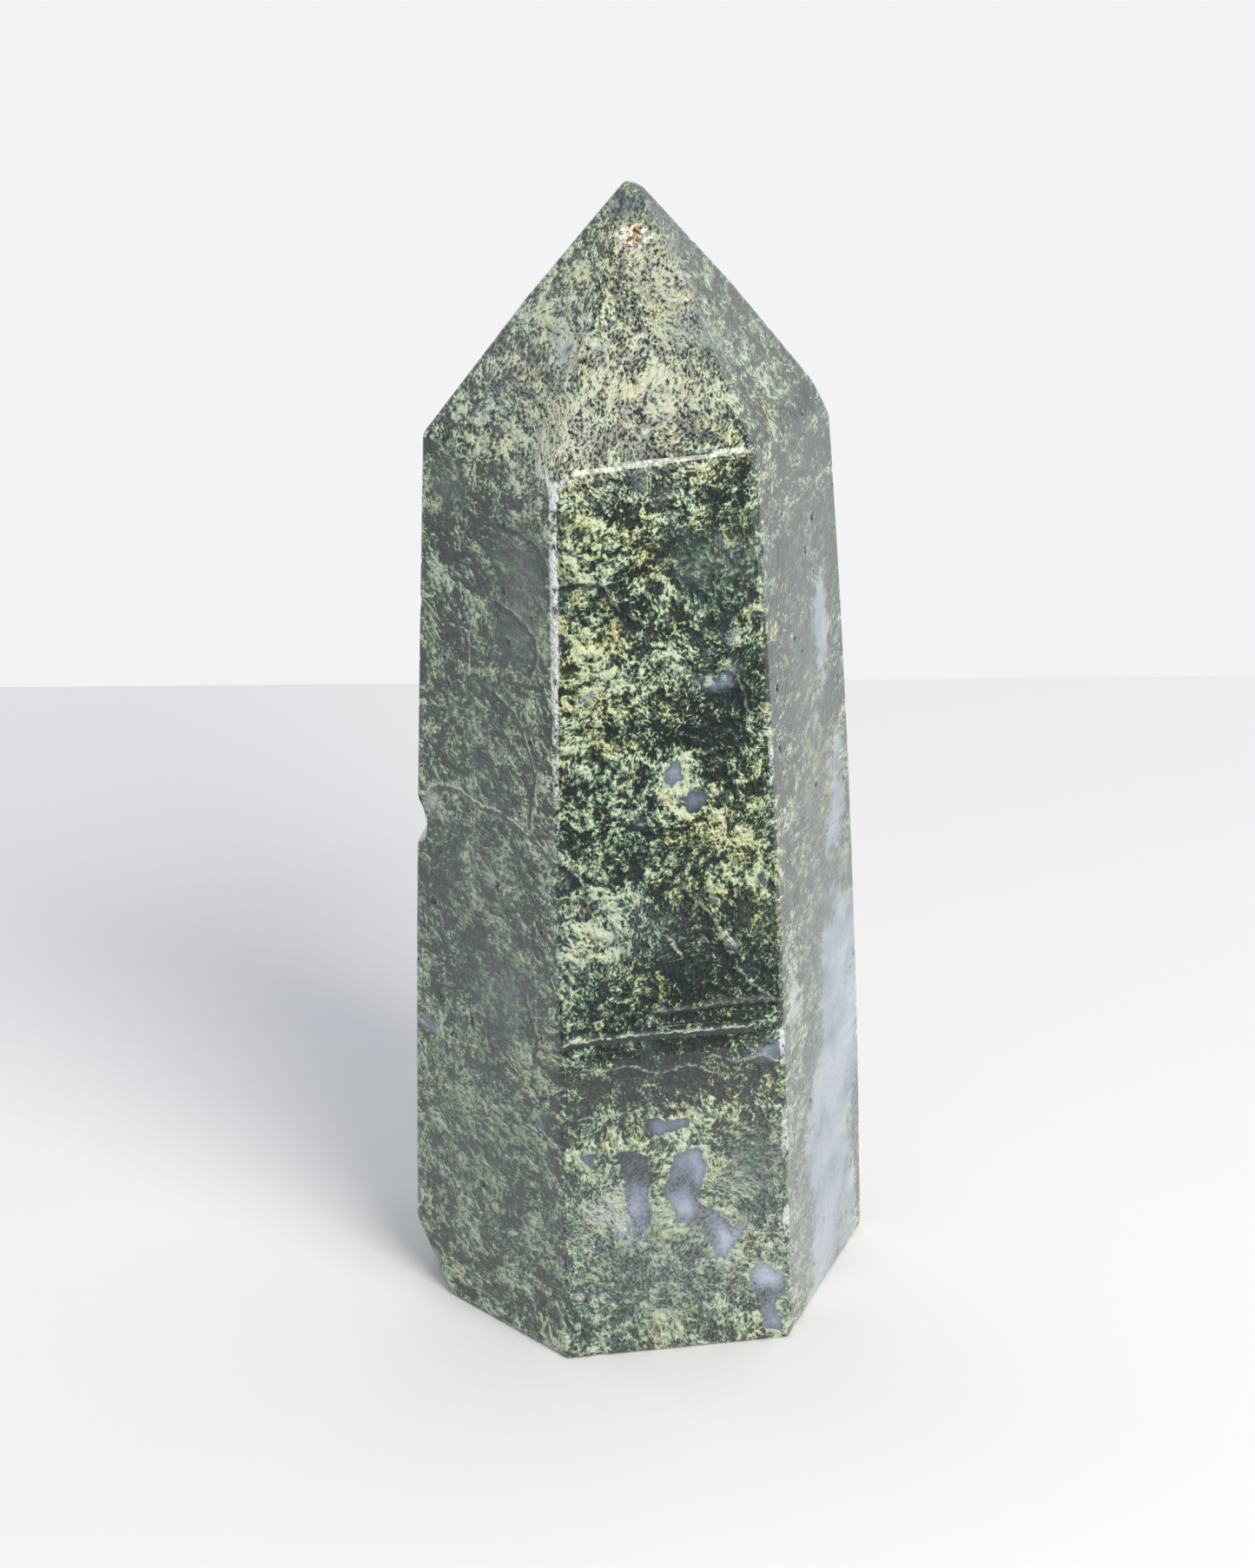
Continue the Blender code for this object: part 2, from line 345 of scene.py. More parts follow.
def along_segment(across, up, start, end):
    """Distance to a segment, and the offset to its left."""
    run, rise = end[0] - start[0], end[1] - start[1]
    length = math.hypot(run, rise)
    share = np.clip(((across - start[0]) * run + (up - start[1]) * rise) / length ** 2, 0, 1)
    left = (run * (up - start[1]) - rise * (across - start[0])) / length
    return np.hypot(across - start[0] - share * run, up - start[1] - share * rise), left


def outline_distance(across, up, outline):
    """Distance to a closed outline, below zero inside it."""
    nearest = np.full(len(across), 1e3)
    inside = np.zeros(len(across), bool)
    for start, end in zip(outline, outline[1:] + outline[:1]):
        nearest = np.minimum(nearest, along_segment(across, up, start, end)[0])
        spans = (start[1] > up) != (end[1] > up)
        slope = (end[0] - start[0]) / ((end[1] - start[1]) or 1e-9)
        inside ^= spans & (across < start[0] + (up - start[1]) * slope)
    return np.where(inside, -nearest, nearest)


def line_offset(across, up, line):
    """Distance to an open line, and the offset to its left from the nearest part."""
    nearest, offset = np.full(len(across), 1e3), np.zeros(len(across))
    for start, end in zip(line, line[1:]):
        distance, left = along_segment(across, up, start, end)
        closer = distance < nearest
        nearest = np.where(closer, distance, nearest)
        offset = np.where(closer, left, offset)
    return nearest, offset


def each(table):
    """Every row of a table of marks, with the name of its face."""
    return [(name, *row) for name, rows in table.items() for row in rows]


print("tip of the front face, mm:", on_face("tip_front", 0, 79).round(1))

# %% [markdown]
# ## The cracks and ledges
# Each line has how bright the painted highlight on its raised lip is, how dark the painted shadow
# beside it is, and how high a step it makes in the polish. The painted highlight is on the left as
# the line is drawn, so a line drawn to the right is lit on its upper side. Lines on the back faces
# continue the same splits.

# %% List the lines
LINES = {  # for each face: painted highlight, painted shadow, step in mm, points
    "front": [
        (1, 1, 0.05, [(-7.9, 23.5), (-7, 23.9), (-4.6, 24), (-2.2, 24.1), (0.2, 24.1), (3.2, 24.1),
         (5, 24.1)]),
        (0.3, 1, 0.04, [(-0.7, 25.7), (1.4, 25.8), (4.4, 26), (7.4, 25.8)]),
        (0.5, 0.5, 0, [(-7.2, 22.2), (-5.2, 21.5), (-3.3, 21.9), (-1.3, 21.1), (0.9, 21.6), (2.6, 20.9)]),
        (0.5, 0.5, 0, [(2.9, 22), (4.3, 21.4), (5.9, 21.9), (7.6, 21)]),
        (0.5, 0.3, 0.03, [(-7.1, 18.2), (-4.7, 18.3), (-2.3, 18.5), (0.7, 18.5), (3.1, 17.6),
         (4.9, 16.4)]),
        (0.3, 0.9, 0.03, [(-7.5, 56.1), (-6.5, 56.5), (-5.5, 56.3), (-4.4, 56.1), (-3.8, 54.9),
         (-3.2, 54.2), (-2.4, 53.7)]),
        (0.3, 0.5, 0.02, [(1, 50), (2.8, 50.1), (4.2, 49.5), (4.8, 47.9), (5, 46.1)]),
        (0.4, 0.5, 0.02, [(0.9, 34.2), (2.3, 32.7), (3.2, 31), (4.1, 28.7), (5.4, 27), (6.8, 25.9)]),
        (0.8, 0.4, 0.02, [(-8.1, 38.3), (-7, 36.6), (-5.6, 34.6), (-4.4, 32.7), (-3.3, 30.7)]),
        (1, 0.3, 0, [(-0.4, 30.9), (0.1, 30.1)]),
    ],
    "left": [
        (1, 0.7, 0.09, [(-6.5, 38), (-5.5, 38.8), (-4.8, 39.1), (-3.1, 39.3), (-1.7, 39),
         (-0.8, 38.8), (1, 38.9), (2.3, 38.7), (4.5, 38.1), (6.3, 37.4), (7.3, 36.6)]),
        (1, 1, 0.08, [(1.1, 47.2), (2.4, 46.6), (3.2, 46.1), (3.7, 45), (4.3, 43.9), (4.8, 42.8),
         (4.8, 41.9), (4.4, 40.6), (4.4, 39.3)]),
        (0.4, 1, 0.07, [(1.6, 59.2), (3.3, 59.1), (4.8, 58.6), (5.7, 57.9), (6, 57.1)]),
        (0.6, 0.9, 0.06, [(1.1, 53.7), (2.4, 53.5), (3.7, 52.9), (4.8, 52.3), (5, 51.1), (4.5, 49.8)]),
        (1, 0.6, 0.08, [(-7.4, 52.2), (-6, 51.5), (-4.7, 50.6), (-2.9, 51), (-2.2, 50.9),
         (-1.9, 49.8), (-2, 48.6)]),
        (0.5, 0.9, 0.03, [(4, 25.9), (4.5, 24.7), (5.1, 23.6), (4.9, 22.3)]),
    ],
    "right": [
        (0.7, 0.3, 0.03, [(-6.1, 28.9), (-3.4, 27.4), (-2.1, 27)]),
    ],
    "tip_front": [
        (0.5, 1, 0.04, [(0.4, 75.5), (0.3, 74.6), (0.6, 73.7)]),
        (0.3, 1, 0.04, [(1.2, 74.9), (2.1, 74.3), (3.1, 73.6)]),
        (0.3, 0.8, 0.03, [(-1.3, 75.2), (-1.7, 74.1), (-1.9, 73.5)]),
        (0.7, 0.4, 0.06, [(-0.8, 74.3), (-0.2, 73.5), (0.7, 73), (1.9, 72.8), (3.2, 73)]),
        (0.8, 0.2, 0.02, [(3.1, 72.3), (3.5, 71.4), (3.9, 70.4), (4.3, 69.8)]),
        (0.8, 0.5, 0.02, [(-0.4, 68.1), (1.2, 68.1), (2.4, 68.4)]),
        (0.3, 0.8, 0.02, [(-2.1, 66.8), (-1, 66.3), (-0.1, 66.6)]),
        (0.7, 0.4, 0.02, [(-6.6, 68.7), (-5.6, 69.6), (-3.5, 70.5)]),
    ],
    "right_back": [
        (0.6, 0.6, 0.05, [(-7, 41), (-4.2, 42.4), (-1, 42), (2.4, 40.2), (5.2, 36.9), (7.2, 32.5)]),
        (0.3, 0.8, 0.03, [(-5, 20.5), (-2.2, 18.4), (0.8, 18), (3.4, 15.7)]),
    ],
    "back": [
        (0.8, 0.6, 0.05, [(-7.8, 30.6), (-5.1, 28.2), (-1.8, 27.9), (1.5, 29.4), (4, 29), (7.6, 26.4)]),
        (0.4, 0.8, 0.03, [(-3, 55.8), (-0.6, 53), (0.4, 49.2), (3.4, 46.8)]),
    ],
    "left_back": [
        (0.5, 0.6, 0.05, [(-7, 52), (-4, 49.6), (-1.5, 50), (2, 47), (5.6, 39.6), (7.2, 38)]),
        (0.7, 0.5, 0.03, [(-6.4, 14.4), (-3, 16.6), (0.4, 16.4), (4.6, 19)]),
    ],
    "tip_back": [
        (0.5, 0.8, 0.04, [(-4, 68.4), (-1.2, 70.2), (1.6, 69.6), (2.8, 71.8)]),
    ],
}
LINE_REACH = 0.9  # mm over which a line's own place on the skin fades out


def measure_lines(points):
    """The nearest line's offset in mm, and its painted highlight, shadow and step values, faded with
    distance.
    """
    offset = np.full(len(points), 1.0)
    lip_highlights, gap_shadows, step = (np.zeros(len(points)) for _ in range(3))
    closest = np.full(len(points), LINE_REACH)
    for name, lip_highlight, shade, drop, marks in each(LINES):
        across, up, below = face_places(points, name)
        nearest, left = line_offset(across, up, up_slope(name, marks))
        nearest = np.maximum(nearest, np.abs(below) - 0.7)
        mine = nearest < closest
        closest = np.where(mine, nearest, closest)
        near = np.clip((LINE_REACH - nearest) / (LINE_REACH / 2), 0, 1)
        offset = np.where(mine, left, offset)
        for values, value in ((lip_highlights, lip_highlight), (gap_shadows, shade), (step, drop)):
            values[mine] = value * near[mine]
    return offset, lip_highlights, gap_shadows, step


print("lines:", len(each(LINES)))

# %% [markdown]
# ## Roughen the breaks and relax the polish
# A polished face isn't a mirror: moss is softer than chalcedony, so the wheel leaves faint dips.
# Broken places are rougher still. Both are small moves of the points along their normals, from
# smooth noise: one slow and shallow everywhere, and two quicker ones where the stone is broken.

# %% Move the skin's points
BROKEN_FROM = 0.06  # mm below the unchipped stone


def depth_below_hull(points):
    """How many mm each point lies below the unchipped stone."""
    return np.array([hull_tree.find_nearest(Vector(point))[3] for point in points]) / MM


def skin_points(mesh):
    flat = np.empty(len(mesh.vertices) * 3)
    mesh.vertices.foreach_get("co", flat)
    return flat.reshape(-1, 3)


def split_broken_faces(bm):
    """Cuts the faces of the breaks twice as fine."""
    depths = depth_below_hull([vert.co for vert in bm.verts])
    broken = [edge for edge in bm.edges if max(depths[vert.index] for vert in edge.verts) > BROKEN_FROM]
    bmesh.ops.subdivide_edges(bm, edges=broken, cuts=1, use_grid_fill=True)


stone_mesh.verts.ensure_lookup_table()
stone_mesh.verts.index_update()
split_broken_faces(stone_mesh)
bmesh.ops.triangulate(stone_mesh, faces=stone_mesh.faces)
stone_mesh.normal_update()
places = np.array([vert.co for vert in stone_mesh.verts])
depths = depth_below_hull(places)
offset, lip_highlights, gap_shadows, step = measure_lines(places)
STEP_FADE = 1.6  # mm over which the low side of a step rises back to the polish
for vert, depth, side, drop in zip(stone_mesh.verts, depths, offset, step):
    if vert.co.z < 0.3 * MM:
        continue
    spot = vert.co / MM
    move = 0.018 * noise.noise(spot * 0.16) + 0.008 * noise.noise(spot * 0.7)
    broken = min(1.0, max(0.0, (depth - BROKEN_FROM) / 0.2))
    move += broken * (0.10 * noise.noise(spot * 0.9) + 0.07 * noise.noise(spot * 2.6))
    if side < 0 and depth < BROKEN_FROM:
        move -= drop * math.exp(side / STEP_FADE)
    vert.co += vert.normal * move * MM
print("skin ready:", len(stone_mesh.faces), "triangles, deepest break", round(depths.max(), 2), "mm")

# %% [markdown]
# ## Pits, nicks and crystals
# Two kinds of small damage repeat over the whole stone. Moss that lay just under the polish has
# torn out and left open pits, and the sharp edges are nibbled all along. Geometry Nodes scatter
# lumpy grains for both: over the faces, at least a set distance apart, and along the edges. The
# grains then cut the stone with a Boolean, so the holes are real and the mesh stays closed. In a
# hollow near the point, tiny quartz crystals have grown. A third tree stands six-sided cones on
# the skin there, and a union makes them one with the stone.

# %% Make the agate's material, to be filled below
agate = bpy.data.materials.new("polished moss agate")
agate.use_nodes = True
print("material:", agate.name)

# %% The parts that the three node trees share
RANDOM, ON_FACES = "FunctionNodeRandomValue", "GeometryNodeDistributePointsOnFaces"


def start_tree(name):
    """An empty Geometry Nodes group with the inputs that all three trees share."""
    tree = bpy.data.node_groups.new(name, "GeometryNodeTree")
    tree.interface.new_socket("Geometry", in_out="INPUT", socket_type="NodeSocketGeometry")
    for title in ("Spacing", "Smallest", "Largest", "Share"):
        tree.interface.new_socket(title, in_out="INPUT", socket_type="NodeSocketFloat")
    tree.interface.new_socket("Seed", in_out="INPUT", socket_type="NodeSocketInt")
    tree.interface.new_socket("Geometry", in_out="OUTPUT", socket_type="NodeSocketGeometry")
    return tree, add(tree, "NodeGroupInput").outputs


def lumpy_grain(tree):
    """A ball about one unit in radius, pushed out of round."""
    ball = add(tree, "GeometryNodeMeshIcoSphere", inputs={"Radius": 1.0, "Subdivisions": 2})
    lumps = add(tree, NOISE, inputs={"Scale": 1.1, "Detail": 2.0})
    centred = add(tree, VECTOR, "SUBTRACT", (lumps.outputs["Color"], (0.5, 0.5, 0.5)))
    return add(tree, "GeometryNodeSetPosition", inputs={"Geometry": ball, "Offset": centred})


def any_turn(tree, inputs, most):
    """A random turn about all three axes, in radians."""
    return add(tree, RANDOM, {"data_type": "FLOAT_VECTOR"},
               {0: (-most,) * 3, 1: (most,) * 3, "Seed": inputs["Seed"]})


def scatter(tree, inputs, points, grain, turn):
    """Puts a turned and stretched grain on each point, and ends the tree."""
    size = add(tree, RANDOM, {"data_type": "FLOAT"}, {"Seed": inputs["Seed"]})
    few_large = add(tree, MATHS, "POWER", (size, 3.0))
    radius = add(tree, RANGE, inputs=(few_large, 0.0, 1.0, inputs["Smallest"], inputs["Largest"]))
    stretch = add(tree, RANDOM, {"data_type": "FLOAT_VECTOR"},
                  {0: (0.6, 0.6, 0.6), 1: (1.5, 1.5, 1.5), "Seed": inputs["Seed"]})
    scale = add(tree, VECTOR, "SCALE", {0: stretch, "Scale": radius})
    chosen = add(tree, RANDOM, {"data_type": "BOOLEAN"},
                 {"Probability": inputs["Share"], "Seed": inputs["Seed"]})
    grains = add(tree, "GeometryNodeInstanceOnPoints", inputs={
        "Points": points, "Selection": chosen, "Instance": grain, "Rotation": turn, "Scale": scale})
    real = add(tree, "GeometryNodeRealizeInstances", inputs={"Geometry": grains})
    dressed = add(tree, "GeometryNodeSetMaterial", inputs={"Geometry": real, "Material": agate})
    add(tree, "NodeGroupOutput", inputs={"Geometry": dressed})


print("shared parts:", [part.__name__ for part in (start_tree, lumpy_grain, any_turn, scatter)])

# %% The three node trees
CRYSTAL_PLACE = ("tip_front", -0.35, 76.8)
CRYSTAL_REACH = 0.9 * MM


def pit_tree():
    """Grains over the faces, never closer together than the spacing."""
    tree, inputs = start_tree("surface pits")
    points = add(tree, ON_FACES, {"distribute_method": "POISSON"}, {
        "Mesh": inputs["Geometry"], "Distance Min": inputs["Spacing"], "Density Max": 4e5,
        "Seed": inputs["Seed"]})
    scatter(tree, inputs, points, lumpy_grain(tree), any_turn(tree, inputs, math.pi))
    return tree


def nick_tree():
    """Grains along every edge that the stone's faces make."""
    tree, inputs = start_tree("edge nicks")
    bend = add(tree, "GeometryNodeInputMeshEdgeAngle")
    sharp = add(tree, "FunctionNodeCompare", {"data_type": "FLOAT", "operation": "GREATER_THAN"},
                (bend, HULL_EDGE_ANGLE))
    lines = add(tree, "GeometryNodeMeshToCurve", inputs={"Mesh": inputs["Geometry"], "Selection": sharp})
    dots = add(tree, "GeometryNodeCurveToPoints", {"mode": "LENGTH"},
               {"Curve": lines, "Length": inputs["Spacing"]})
    apart = add(tree, "GeometryNodeMergeByDistance",
                inputs={"Geometry": dots, "Distance": inputs["Spacing"]})
    scatter(tree, inputs, apart, lumpy_grain(tree), any_turn(tree, inputs, math.pi))
    return tree


def crystal_tree(centre):
    """Six-sided quartz crystals that stand up from the skin around one place."""
    tree, inputs = start_tree("quartz crystals")
    here = add(tree, "GeometryNodeInputPosition")
    away = add(tree, VECTOR, "DISTANCE", (here, centre))
    near = add(tree, "FunctionNodeCompare", {"data_type": "FLOAT", "operation": "LESS_THAN"},
               (away, CRYSTAL_REACH))
    points = add(tree, ON_FACES, {"distribute_method": "POISSON"}, {
        "Mesh": inputs["Geometry"], "Selection": near, "Distance Min": inputs["Spacing"],
        "Density Max": 3e7, "Seed": inputs["Seed"]})
    prism = add(tree, "GeometryNodeMeshCone",
                inputs={"Vertices": 6, "Radius Top": 0.0, "Radius Bottom": 0.6, "Depth": 2.0})
    sunk = add(tree, "GeometryNodeTransform", inputs={"Geometry": prism, "Translation": (0, 0, -0.9)})
    lean = add(tree, "FunctionNodeEulerToRotation", inputs=(any_turn(tree, inputs, 0.8),))
    turn = add(tree, "FunctionNodeRotateRotation", {"rotation_space": "LOCAL"},
               {"Rotation": points.outputs["Rotation"], "Rotate By": lean})
    scatter(tree, inputs, points, sunk, turn)
    return tree


print("crystals grow at", CRYSTAL_PLACE, "within", round(CRYSTAL_REACH / MM, 1), "mm")


# %% Grow the grains
def new_object(name, bm):
    mesh = bpy.data.meshes.new(name)
    bm.to_mesh(mesh)
    mesh.materials.append(agate)
    made = bpy.data.objects.new(name, mesh)
    scene.collection.objects.link(made)
    return made


def plain_mesh(carrier):
    """The mesh that an object has with its modifiers, as a mesh of its own."""
    return bpy.data.meshes.new_from_object(carrier.evaluated_get(bpy.context.evaluated_depsgraph_get()))


def grown(carrier, tree, spacing, smallest, largest, share, seed):
    """What a node tree makes on an object, as a plain object. Sizes are in mm."""
    modifier = carrier.modifiers.new(tree.name, "NODES")
    modifier.node_group = tree
    values = {"Spacing": spacing * MM, "Smallest": smallest * MM, "Largest": largest * MM,
              "Share": share, "Seed": seed}
    for item in tree.interface.items_tree:
        if item.in_out == "INPUT" and item.name in values:
            modifier[item.identifier] = values[item.name]
    mesh = plain_mesh(carrier)
    carrier.modifiers.remove(modifier)
    return bpy.data.objects.new(tree.name, mesh)


stone = new_object("moss_agate_stone", stone_mesh)
hull = new_object("unchipped_stone", hull_mesh)
pits = grown(stone, pit_tree(), spacing=1.5, smallest=0.05, largest=0.30, share=0.3, seed=5)
nicks = grown(hull, nick_tree(), spacing=1.1, smallest=0.07, largest=0.36, share=0.4, seed=11)
crystals = grown(stone, crystal_tree(on_face(*CRYSTAL_PLACE) * MM),
                 spacing=0.26, smallest=0.16, largest=0.42, share=1.0, seed=3)
bpy.data.objects.remove(hull)
GRAIN_FACES, CRYSTAL_FACES = 80, 7
print("grains:", len(pits.data.polygons) // GRAIN_FACES, "pits,",
      len(nicks.data.polygons) // GRAIN_FACES, "nicks,",
      len(crystals.data.polygons) // CRYSTAL_FACES, "crystals")


# %% Cut them out of the stone, and join the crystals on
FOOT_ROOM = 0.9 * MM  # the sawn base and its edge stay whole


def clear_foot(cutter):
    """Leaves out every grain that would reach near the base."""
    bm = bmesh.new()
    bm.from_mesh(cutter.data)
    remove = [vert for vert in bm.verts if vert.co.z < FOOT_ROOM]
    seen = set(remove)
    while remove:
        vert = remove.pop()
        for edge in vert.link_edges:
            other = edge.other_vert(vert)
            if other not in seen:
                seen.add(other)
                remove.append(other)
    bmesh.ops.delete(bm, geom=list(seen), context="VERTS")
    bm.to_mesh(cutter.data)


def combine(piece, cutter, operation):
    """Subtracts a cutter from a piece, or joins it on, and removes the cutter."""
    scene.collection.objects.link(cutter)
    boolean = piece.modifiers.new("cut", "BOOLEAN")
    boolean.operation = operation
    boolean.solver = "MANIFOLD"
    boolean.object = cutter
    mesh = plain_mesh(piece)
    piece.modifiers.remove(boolean)
    piece.data = mesh
    bpy.data.objects.remove(cutter)


for cutter in (pits, nicks):
    clear_foot(cutter)
    combine(stone, cutter, "DIFFERENCE")
combine(stone, crystals, "UNION")
checked = bmesh.new()
checked.from_mesh(stone.data)
bmesh.ops.triangulate(checked, faces=checked.faces)
open_edges = sum(len(edge.link_faces) != 2 for edge in checked.edges)
print("stone:", len(checked.faces), "triangles,", open_edges, "open edges, volume, cubic cm:",
      round(checked.calc_volume() / (10 * MM) ** 3, 2))
checked.to_mesh(stone.data)

# %% [markdown]
# ## Windows in the moss
# Between the tangles of moss the stone is clear blue-grey chalcedony, and it shows as smooth
# windows with dark rims. The largest are drawn as outlines on their faces, and a slow drift keeps
# their corners from looking drawn. A window goes a few millimetres into the stone, so one at an
# edge also shows round the corner. Paleness runs from 0, almost black, to 1, and above 0.9 the
# window lies deeper and its edge turns soft.

# %% List the windows
WINDOWS = {  # for each face: paleness, points
    "front": [
        (0.75, [(-0.2, 14.8), (0.7, 15.4), (1.9, 15.4), (2.1, 13.9), (1.7, 11.2), (2.7, 9.8),
         (4.3, 9.5), (5.5, 9.9), (4.3, 7.9), (3, 6.1), (2.4, 8.1), (1.8, 9), (-0.4, 10.1), (-0.6, 12.8)]),
        (0.3, [(-4.3, 15.4), (-2.6, 15.7), (-2, 14.5), (-1.9, 11.5), (-2.3, 9.2), (-2.9, 8),
         (-3.2, 10.6), (-3.9, 13)]),
        (1.4, [(-4.5, 12.8), (-3.7, 11.6), (-3.1, 10), (-3.1, 8), (-3.7, 8), (-4, 10.4)]),
        (0.2, [(-2.4, 17.8), (-1.1, 18), (0.7, 17.7), (0.5, 16.8), (-0.8, 16.6), (-2.2, 16.8)]),
        (0.5, [(-6.9, 15.6), (-5.9, 15.7), (-6.2, 14.6)]),
        (0.85, [(5, 5.7), (6.1, 6), (7.6, 5.4), (7.6, 3.5), (6.9, 2.9), (7.5, 1.1), (7.3, 0.3),
         (6.1, 0.6), (5.3, 3.1)]),
        (0.7, [(-0.5, 43), (0.7, 44), (1, 42.4), (-0.2, 41.9)]),
        (0.1, [(0, 41.5), (1, 42), (2.4, 41.6), (2.4, 40.9), (1.5, 40), (0.6, 40.3)]),
        (0.8, [(2.4, 34.7), (3.1, 33.9), (2.8, 33.2), (2.2, 34)]),
        (0.6, [(6, 35.4), (6.8, 35.3), (6.7, 34.1), (6.1, 34.2)]),
    ],
    "right": [
        (1.2, [(-4.4, -1), (-2.4, 7), (-4, 13.5), (-0.5, 18), (1, 26.5), (4.5, 29), (8.5, 27),
         (9, 17), (6.2, 10.5), (7.4, 3), (6, -1)]),
        (1.2, [(3, 32.5), (3.8, 38), (6.4, 40.5), (7.6, 36), (5.6, 32)]),
        (1.2, [(-7.4, 24.8), (-5.6, 26.6), (-4.4, 24), (-6.2, 21.4)]),
        (1.1, [(2, 49), (3.4, 53), (5.2, 50.5), (4.4, 45), (2.8, 44)]),
    ],
    "tip_front": [
        (0.1, [(-4.4, 75.5), (-3.7, 75.4), (-3.6, 74.7), (-4.3, 74.5)]),
        (0.1, [(-3.8, 70.5), (-3, 70.5), (-3, 69.4), (-3.7, 69.3)]),
    ],
    "right_back": [
        (0.8, [(-5.4, 27.5), (-2.2, 30.4), (1, 29.2), (3.4, 31.8), (5.2, 29), (3, 25.2), (-0.5, 23.8),
         (-3.8, 24.2)]),
        (0.3, [(1.8, 50.6), (3.9, 52.8), (5.4, 50.4), (4.6, 47), (2.4, 46)]),
    ],
    "back": [
        (0.7, [(-4.9, 16.6), (-2, 19.4), (1.6, 18.5), (2.6, 14.2), (0.2, 10.4), (-2.6, 11.6),
         (-5.4, 9.2), (-6, 13.2)]),
        (0.4, [(0.4, 41.5), (2.4, 44.6), (4.6, 43.4), (5, 38.6), (2.6, 36.9)]),
    ],
    "left_back": [
        (0.6, [(-2.2, 34.2), (0.4, 37.2), (3.2, 35.8), (2.6, 31.5), (4.4, 27.4), (1.8, 26.2),
         (-0.6, 29.4)]),
        (0.9, [(-5.4, 6.4), (-3.2, 9), (-1, 7.4), (-1.6, 3.4), (-4.4, 2.8)]),
    ],
}
WINDOW_DEPTH = 2.5  # mm into the stone
FAR = 3.0  # mm, the largest distance that is kept
DRIFT, DRIFT_SCALE = 0.7, 0.45  # mm that an outline is pushed about, and waves per mm


def drifting(point):
    """A smooth shift with no pattern to it: one noise, read at three places that are far apart."""
    place = Vector(point) / MM * DRIFT_SCALE
    return [noise.noise(place + Vector((apart, 0, 0))) for apart in (0.0, 41.3, 83.7)]


def measure_windows(points):
    """Distance to the nearest window, below zero inside it, and that window's paleness."""
    nearest, paleness = np.full(len(points), FAR), np.zeros(len(points))
    drift = np.array([drifting(point) for point in points]) * DRIFT
    for name, tone, marks in each(WINDOWS):
        across, up, below = face_places(points + drift * MM, name)
        distance = outline_distance(across, up, up_slope(name, marks))
        distance = np.maximum(distance, np.abs(below) - WINDOW_DEPTH)
        closer = distance < nearest
        nearest = np.where(closer, distance, nearest)
        paleness = np.where(closer, tone, paleness)
    return nearest, paleness


print("windows:", len(each(WINDOWS)))
